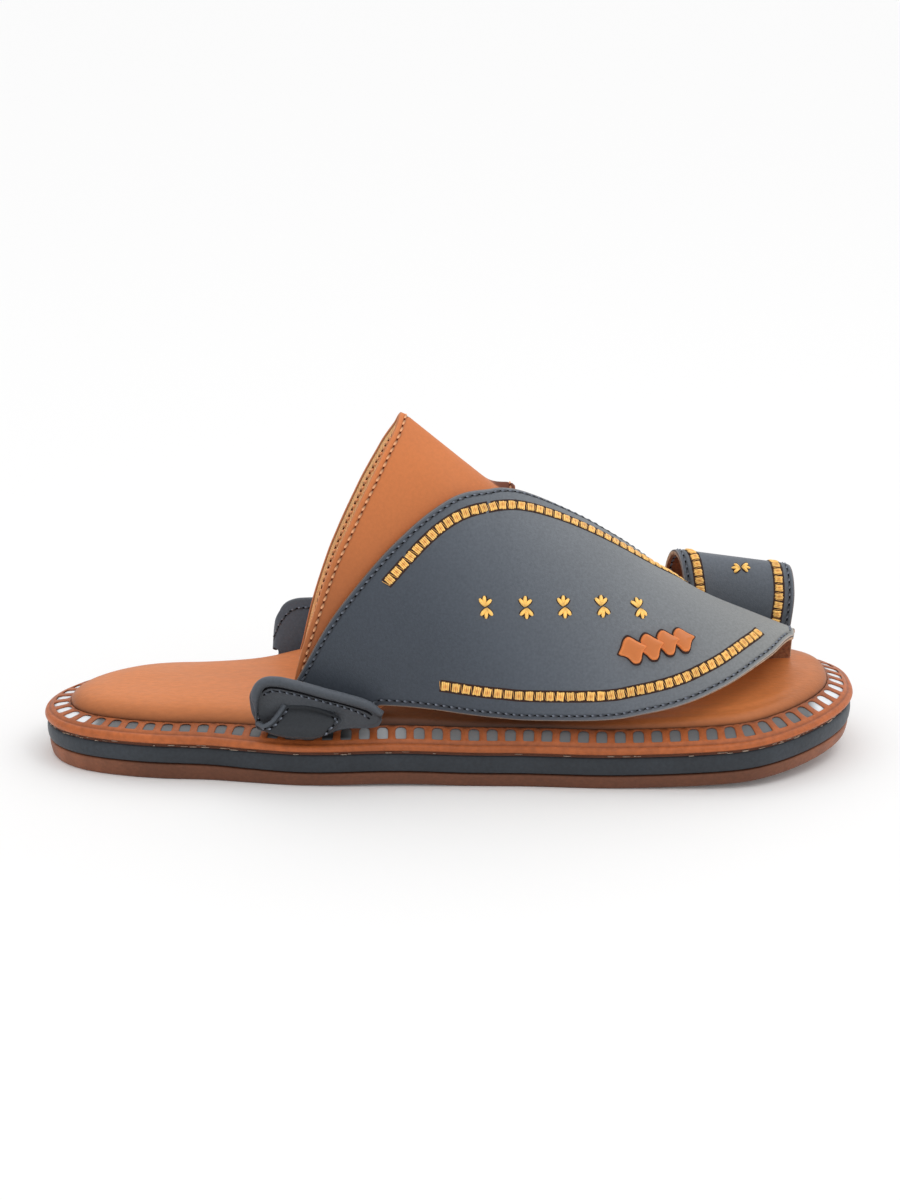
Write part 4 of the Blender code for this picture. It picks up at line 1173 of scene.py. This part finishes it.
earSizes = {
    "lean": 0.0055, "leanFront": (-0.0430, -0.0240, 0.25), "inset": 0.0044, "curl": 1.3, "wall": 0.0020,
    "grid": (90, 40), "pitch": 0.0024, "tone": (0.96, 0.93, 0.90), "rollTone": (0.92, 0.50),
    "creaseThick": 0.00085, "rollAt": (0, 0.08, 0.15, 0.24, 0.85, 0.97, 1),
    "rollThick": (0.22, 0.24, 0.42, 1, 1, 0.75, 0.25),
    "foldTop": ((-0.0571, 0.0296), (-0.0545, 0.0301), (-0.0505, 0.0302), (-0.0455, 0.0294),
                (-0.0400, 0.0272)),
    "foldLow": ((-0.0664, 0.0224), (-0.0640, 0.0196), (-0.0570, 0.0178), (-0.0490, 0.0173),
                (-0.0425, 0.0190)),
    "foldBack": ((-0.0571, 0.0296), (-0.0592, 0.0266), (-0.0618, 0.0237), (-0.0644, 0.0223),
                 (-0.0664, 0.0224)),
    "foldFront": ((-0.0400, 0.0272), (-0.0375, 0.0252), (-0.0385, 0.0236), (-0.0408, 0.0212),
                  (-0.0425, 0.0190)),
    "foldOut": (0.0006, 0.0032, 0.0052, 0.0050, 0.0016), "foldWall": 0.0014, "foldGrid": (44, 30),
    "foldLip": 0.0009, "foldIn": 0.0018, "foldTone": (0.42, 1.1, 0.5), "lipTone": 1.3, "hollow": 0.0010,
    "foldGap": 0.0012, "creaseTone": (0.26, 0.95, 0.0011), "sideRoom": 0.0016, "middleTone": (0.80, 0.30),
    "creaseIn": 1.5, "even": 8, "rollGrid": (160, 16), "creaseFade": (0.02, 0.98, 0.4),
    "foldFull": (0.6, 0.4, 0.6),
}


def earEdge(x, side):
    along = 0.5 + x / sole["length"]
    return smooth(sole["along"], sole["lateral" if side < 0 else "medial"], along) - earSizes["inset"]


def patch(top, low, back, front, steps):  # a sheet between four edge lines, each of a few points x, z
    p, q = (np.linspace(0, 1, count + 1) for count in steps)

    def along(points, t):
        points = np.asarray(points)
        keys = np.linspace(0, 1, len(points))
        return np.stack([smooth(keys, points[:, k], t) for k in (0, 1)], -1)

    a, b, c, d = along(top, p)[:, None], along(low, p)[:, None], along(back, q)[None], along(front, q)[None]
    p, q = p[:, None, None], q[None, :, None]
    corners = (1 - q) * ((1 - p) * a[:1] + p * a[-1:]) + q * ((1 - p) * b[:1] + p * b[-1:])
    return (1 - q) * a + q * b + (1 - p) * c + p * d - corners


def ear(name, node, side, rows):
    u, v = np.meshgrid(eased(earSizes["grid"][0], 0.85), eased(earSizes["grid"][1]), indexing="ij")
    x = rows["x"][0] + (rows["x"][-1] - rows["x"][0]) * u
    foot, top = (smooth(rows["x"], rows[key], x) for key in ("foot", "top"))
    start, stop, least = earSizes["leanFront"]
    lean = earSizes["lean"] * (1 - (1 - least) * ramp(x, start, stop - start))
    hollow = earSizes["hollow"] * np.sin(math.pi * v) * np.sin(math.pi * u)
    out = earEdge(x, side) + lean * v ** earSizes["curl"] - hollow
    grid = np.stack([x, side * out, foot + (top - foot) * v], -1)
    under = np.minimum((1 - v) * (top - foot), x - x.min() + earSizes["sideRoom"])
    dark, beside, fade = earSizes["creaseTone"]  # painted shade in the crease beside the roll
    light, change = earSizes["middleTone"]
    tone = dark + (1 - dark) * ramp(under, rows["roll"] * beside, fade)
    tone = tone * (light + change * np.sin(math.pi * u))
    leaf = sheetPiece(name, grid, earSizes["wall"], earLooks, (-0.045, 0, 0.03), node,
                      lambda verts: tone.reshape(-1, 1) * earSizes["tone"], 1.0, rows["lining"])
    heart = grid.mean((0, 1))
    high = edgeLine(leaf, "high", rows["stitchIn"], (0.003, 0.002), toward=heart)
    jobs = [(leaf.tree, high), (leaf.liningTree, high)]
    if rows["sideIn"]:
        jobs.append((leaf.tree, edgeLine(leaf, "back", rows["sideIn"], (0.001, 0.003))))
    # the rolled rear and top edge
    path, outwards = (np.vstack([points[0, 4:], points[1:, -1]]) for points in (grid, leaf.normal))
    path = path + rows["rollOut"] * outwards
    path = path[path[:, 2] > rows["rollFrom"]]
    total, at = walk(path)
    count, sides = earSizes["rollGrid"]
    steps = np.linspace(0, 1, count)
    route = evenOut(at(steps * total), earSizes["even"])
    thick = rows["roll"] * smooth(earSizes["rollAt"], earSizes["rollThick"], steps)
    light, change = earSizes["rollTone"]  # painted light on top, painted shade below
    angle = math.tau * np.arange(sides) / sides
    rollTone = np.tile(light + side * change * np.cos(angle), (len(steps), 1))
    threads(name + "Roll", route[None], np.array([(0.0, side, 0.0)]), thick, slateLeather,
            sides, tone=rollTone)
    # a dark strand of painted shade along the crease under the roll
    line = edgeLine(leaf, "high", rows["roll"] * earSizes["creaseIn"], (0.003, 0.002), toward=heart)
    near, far, power = earSizes["creaseFade"]
    fade = np.sin(math.pi * np.linspace(near, far, len(line))) ** power
    threads(name + "CreaseShadow", line[None], np.array([(0.0, side, 0.0)]), earSizes["creaseThick"] * fade,
            holesAndCreaseShade, 6)
    # the dark fold in front of it
    flat = patch(*(earSizes[key] for key in ("foldTop", "foldLow", "foldBack", "foldFront")),
                 earSizes["foldGrid"])
    x, z = flat[..., 0] + rows["foldShift"], flat[..., 1]
    p, q = np.meshgrid(*(np.linspace(0, 1, count + 1) for count in earSizes["foldGrid"]), indexing="ij")
    least, more, power = earSizes["foldFull"]
    full = least + more * np.sin(math.pi * p) ** power
    belly = smooth(np.linspace(0, 1, 5), earSizes["foldOut"], q) * full
    grid = np.stack([x, side * (earEdge(x, side) + earSizes["foldGap"] + belly), z], -1)
    # painted shade: the fold darkened all over, most towards its bottom
    dim, crest, fall = earSizes["foldTone"]
    foldTone = dim * (crest - fall * q.reshape(-1, 1) ** 2)
    fold = sheetPiece(name + "Fold", grid, earSizes["foldWall"], earLooks,
                      (-0.05, side * 0.036, 0.024), None, lambda verts: foldTone, earSizes["foldIn"])
    threads(name + "FoldLip", grid[:1], np.array([(0.0, side, 0.0)]), earSizes["foldLip"], slateLeather,
            12, tone=np.full(grid.shape[1], earSizes["lipTone"]))
    jobs += [(fold.tree, edgeLine(fold, end, earSizes["foldIn"], (0.001, 0.001)))
             for end in ("back", "front")]
    sewEdges(name, jobs, navyThread, earSizes["pitch"])


ear("earLateral", "ear_lateral", -1, outerEar)
ear("earMedial", "ear_medial", 1, innerEar)
print("ears folded")

# four leather tiles, lapped like scales
tileSizes = {
    "x": (0.0620, 0.0680, 0.0735, 0.0787), "turn": (-0.688, -0.648, -0.600, -0.557),
    "scale": (1.0, 0.98, 0.94, 0.90),
    "right": (-4.7, -4.5, -3.6, -3.2, -2.5, -1.4, 0.0, 1.7, 3.3, 4.6, 4.6, 3.6, 3.1, 2.9, 2.3, 0.8, -0.3,
              -1.1, -2.5, -3.9),
    "up": (-1.3, -0.8, 1.1, 2.8, 4.0, 4.6, 3.9, 2.8, 2.1, 1.5, 1.0, 0.0, -1.7, -3.3, -4.4, -4.6, -3.9, -2.8,
           -2.0, -1.8),
    "tilt": 0.14, "base": 0.00045,
    # the two widest rings are a dark flange: the dyed cut edge with painted shadow round the tile; tone puts
    # a painted highlight on the bevel
    "rings": ((1.18, -0.0004), (1.16, 0.0001), (1.02, 0.0003), (0.99, 0.00090), (0.93, 0.00125),
              (0.78, 0.00145), (0.36, 0.00165)),
    "tone": (1, 1, 1.1, 1.35, 1.25, 1.0, 0.94),
}


def tile(number, x, turn, scale):
    place = skin(np.array([x]), np.array([turn]), strapSizes["wingOut"], "post")
    (spot,), (up,) = seat(wingLateral.tree, place)
    forward = unit(np.array((1.0, 0, 0)) - up * up[0])
    upward = np.cross(up, forward)
    upward *= np.sign(upward[2])
    flat = rounded(np.stack([tileSizes["right"], tileSizes["up"]], -1) * scale / 1000, True)
    verts = []
    for part, height in tileSizes["rings"]:
        rise = tileSizes["base"] + height + tileSizes["tilt"] * flat[:, :1] * part
        verts.append(spot + forward * flat[:, :1] * part + upward * flat[:, 1:] * part + up * rise)
    verts = np.vstack(verts)
    count = len(flat)
    faces = quads(len(tileSizes["rings"]), count, wrapColumns=True).tolist()
    zones = [1] * (2 * count) + [0] * (len(faces) - 2 * count)
    faces.append(list(range(count - 1, -1, -1)))
    faces.append(list(range(len(verts) - count, len(verts))))
    zones += [1, 0]
    tint = np.repeat(tileSizes["tone"], count)
    made = newPiece(f"tile{number}", verts, faces, (tileLeather, dyedEdgeAndShadow), zones, tint)
    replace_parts(made, f"diamond_{number}")


for number, place in enumerate(zip(tileSizes["x"], tileSizes["turn"], tileSizes["scale"]), 1):
    tile(number, *place)
print("tiles laid")

# camera, floor and light
shot = {
    "distance": 0.9516, "elevation": 17.68, "azimuth": 0.33, "aim": (0.0, -middle, 0.05526), "focal": 2684,
    "imageWidth": 900, "floor": 14.0, "floorPlace": (0, 3, 0), "domeLow": 0.60, "domeHigh": 1.20,
    "domeWay": (0.28, 0.16, 0.94), "keyPower": 1.0, "keyPlace": (0.45, -0.35, 1.0), "keySize": 0.4,
    "keyAim": (0, 0, 0.04),
    "paper": {"Base Color": (0.93, 0.93, 0.93, 1), "Roughness": 0.9, "Specular IOR Level": 0.1,
              "Emission Color": (1, 1, 1, 1), "Emission Strength": 0.06},
}
rise, swing = math.radians(shot["elevation"]), math.radians(shot["azimuth"])
view = Vector((math.sin(swing) * math.cos(rise), math.cos(swing) * math.cos(rise), -math.sin(rise)))
camera = bpy.data.objects.new("camera", bpy.data.cameras.new("camera"))
camera.location = Vector(shot["aim"]) - view * shot["distance"]
camera.rotation_euler = view.to_track_quat("-Z", "Y").to_euler()
camera.data.sensor_fit = "HORIZONTAL"
camera.data.lens = shot["focal"] / shot["imageWidth"] * camera.data.sensor_width
camera.data.clip_start = 0.01
bpy.context.scene.collection.objects.link(camera)
bpy.context.scene.camera = camera

bpy.ops.mesh.primitive_plane_add(size=shot["floor"], location=shot["floorPlace"])
floor = bpy.context.object
floor.name = "floor"
paper = bpy.data.materials.new("paper")
paper.use_nodes = True
setInputs(paper.node_tree.nodes["Principled BSDF"], shot["paper"])
floor.data.materials.append(paper)


def softbox(name, power, place, size):
    light = bpy.data.objects.new(name, bpy.data.lights.new(name, "AREA"))
    light.data.energy = power
    light.data.size = size
    light.location = place
    light.rotation_euler = (Vector(shot["keyAim"]) - Vector(place)).to_track_quat("-Z", "Y").to_euler()
    bpy.context.scene.collection.objects.link(light)


softbox("key", shot["keyPower"], shot["keyPlace"], shot["keySize"])
sky = bpy.data.worlds.new("sky")
sky.use_nodes = True
skyPlace = addNode(sky.node_tree, "TexCoord").outputs["Generated"]
skyWay = addNode(sky.node_tree, "VectorMath", {1: Vector(shot["domeWay"]).normalized()}, {0: skyPlace},
                 operation="DOT_PRODUCT")  # brightest where it faces this way
skyTone = {"From Min": 0, "From Max": 1, "To Min": shot["domeLow"], "To Max": shot["domeHigh"]}
skyRange = addNode(sky.node_tree, "MapRange", skyTone, {"Value": skyWay.outputs["Value"]})
backdrop = setInputs(sky.node_tree.nodes["Background"], {"Color": (1, 1, 1, 1)})
sky.node_tree.links.new(skyRange.outputs["Result"], backdrop.inputs["Strength"])
bpy.context.scene.world = sky
bpy.context.scene.view_settings.view_transform = "Standard"

print("scene ready")
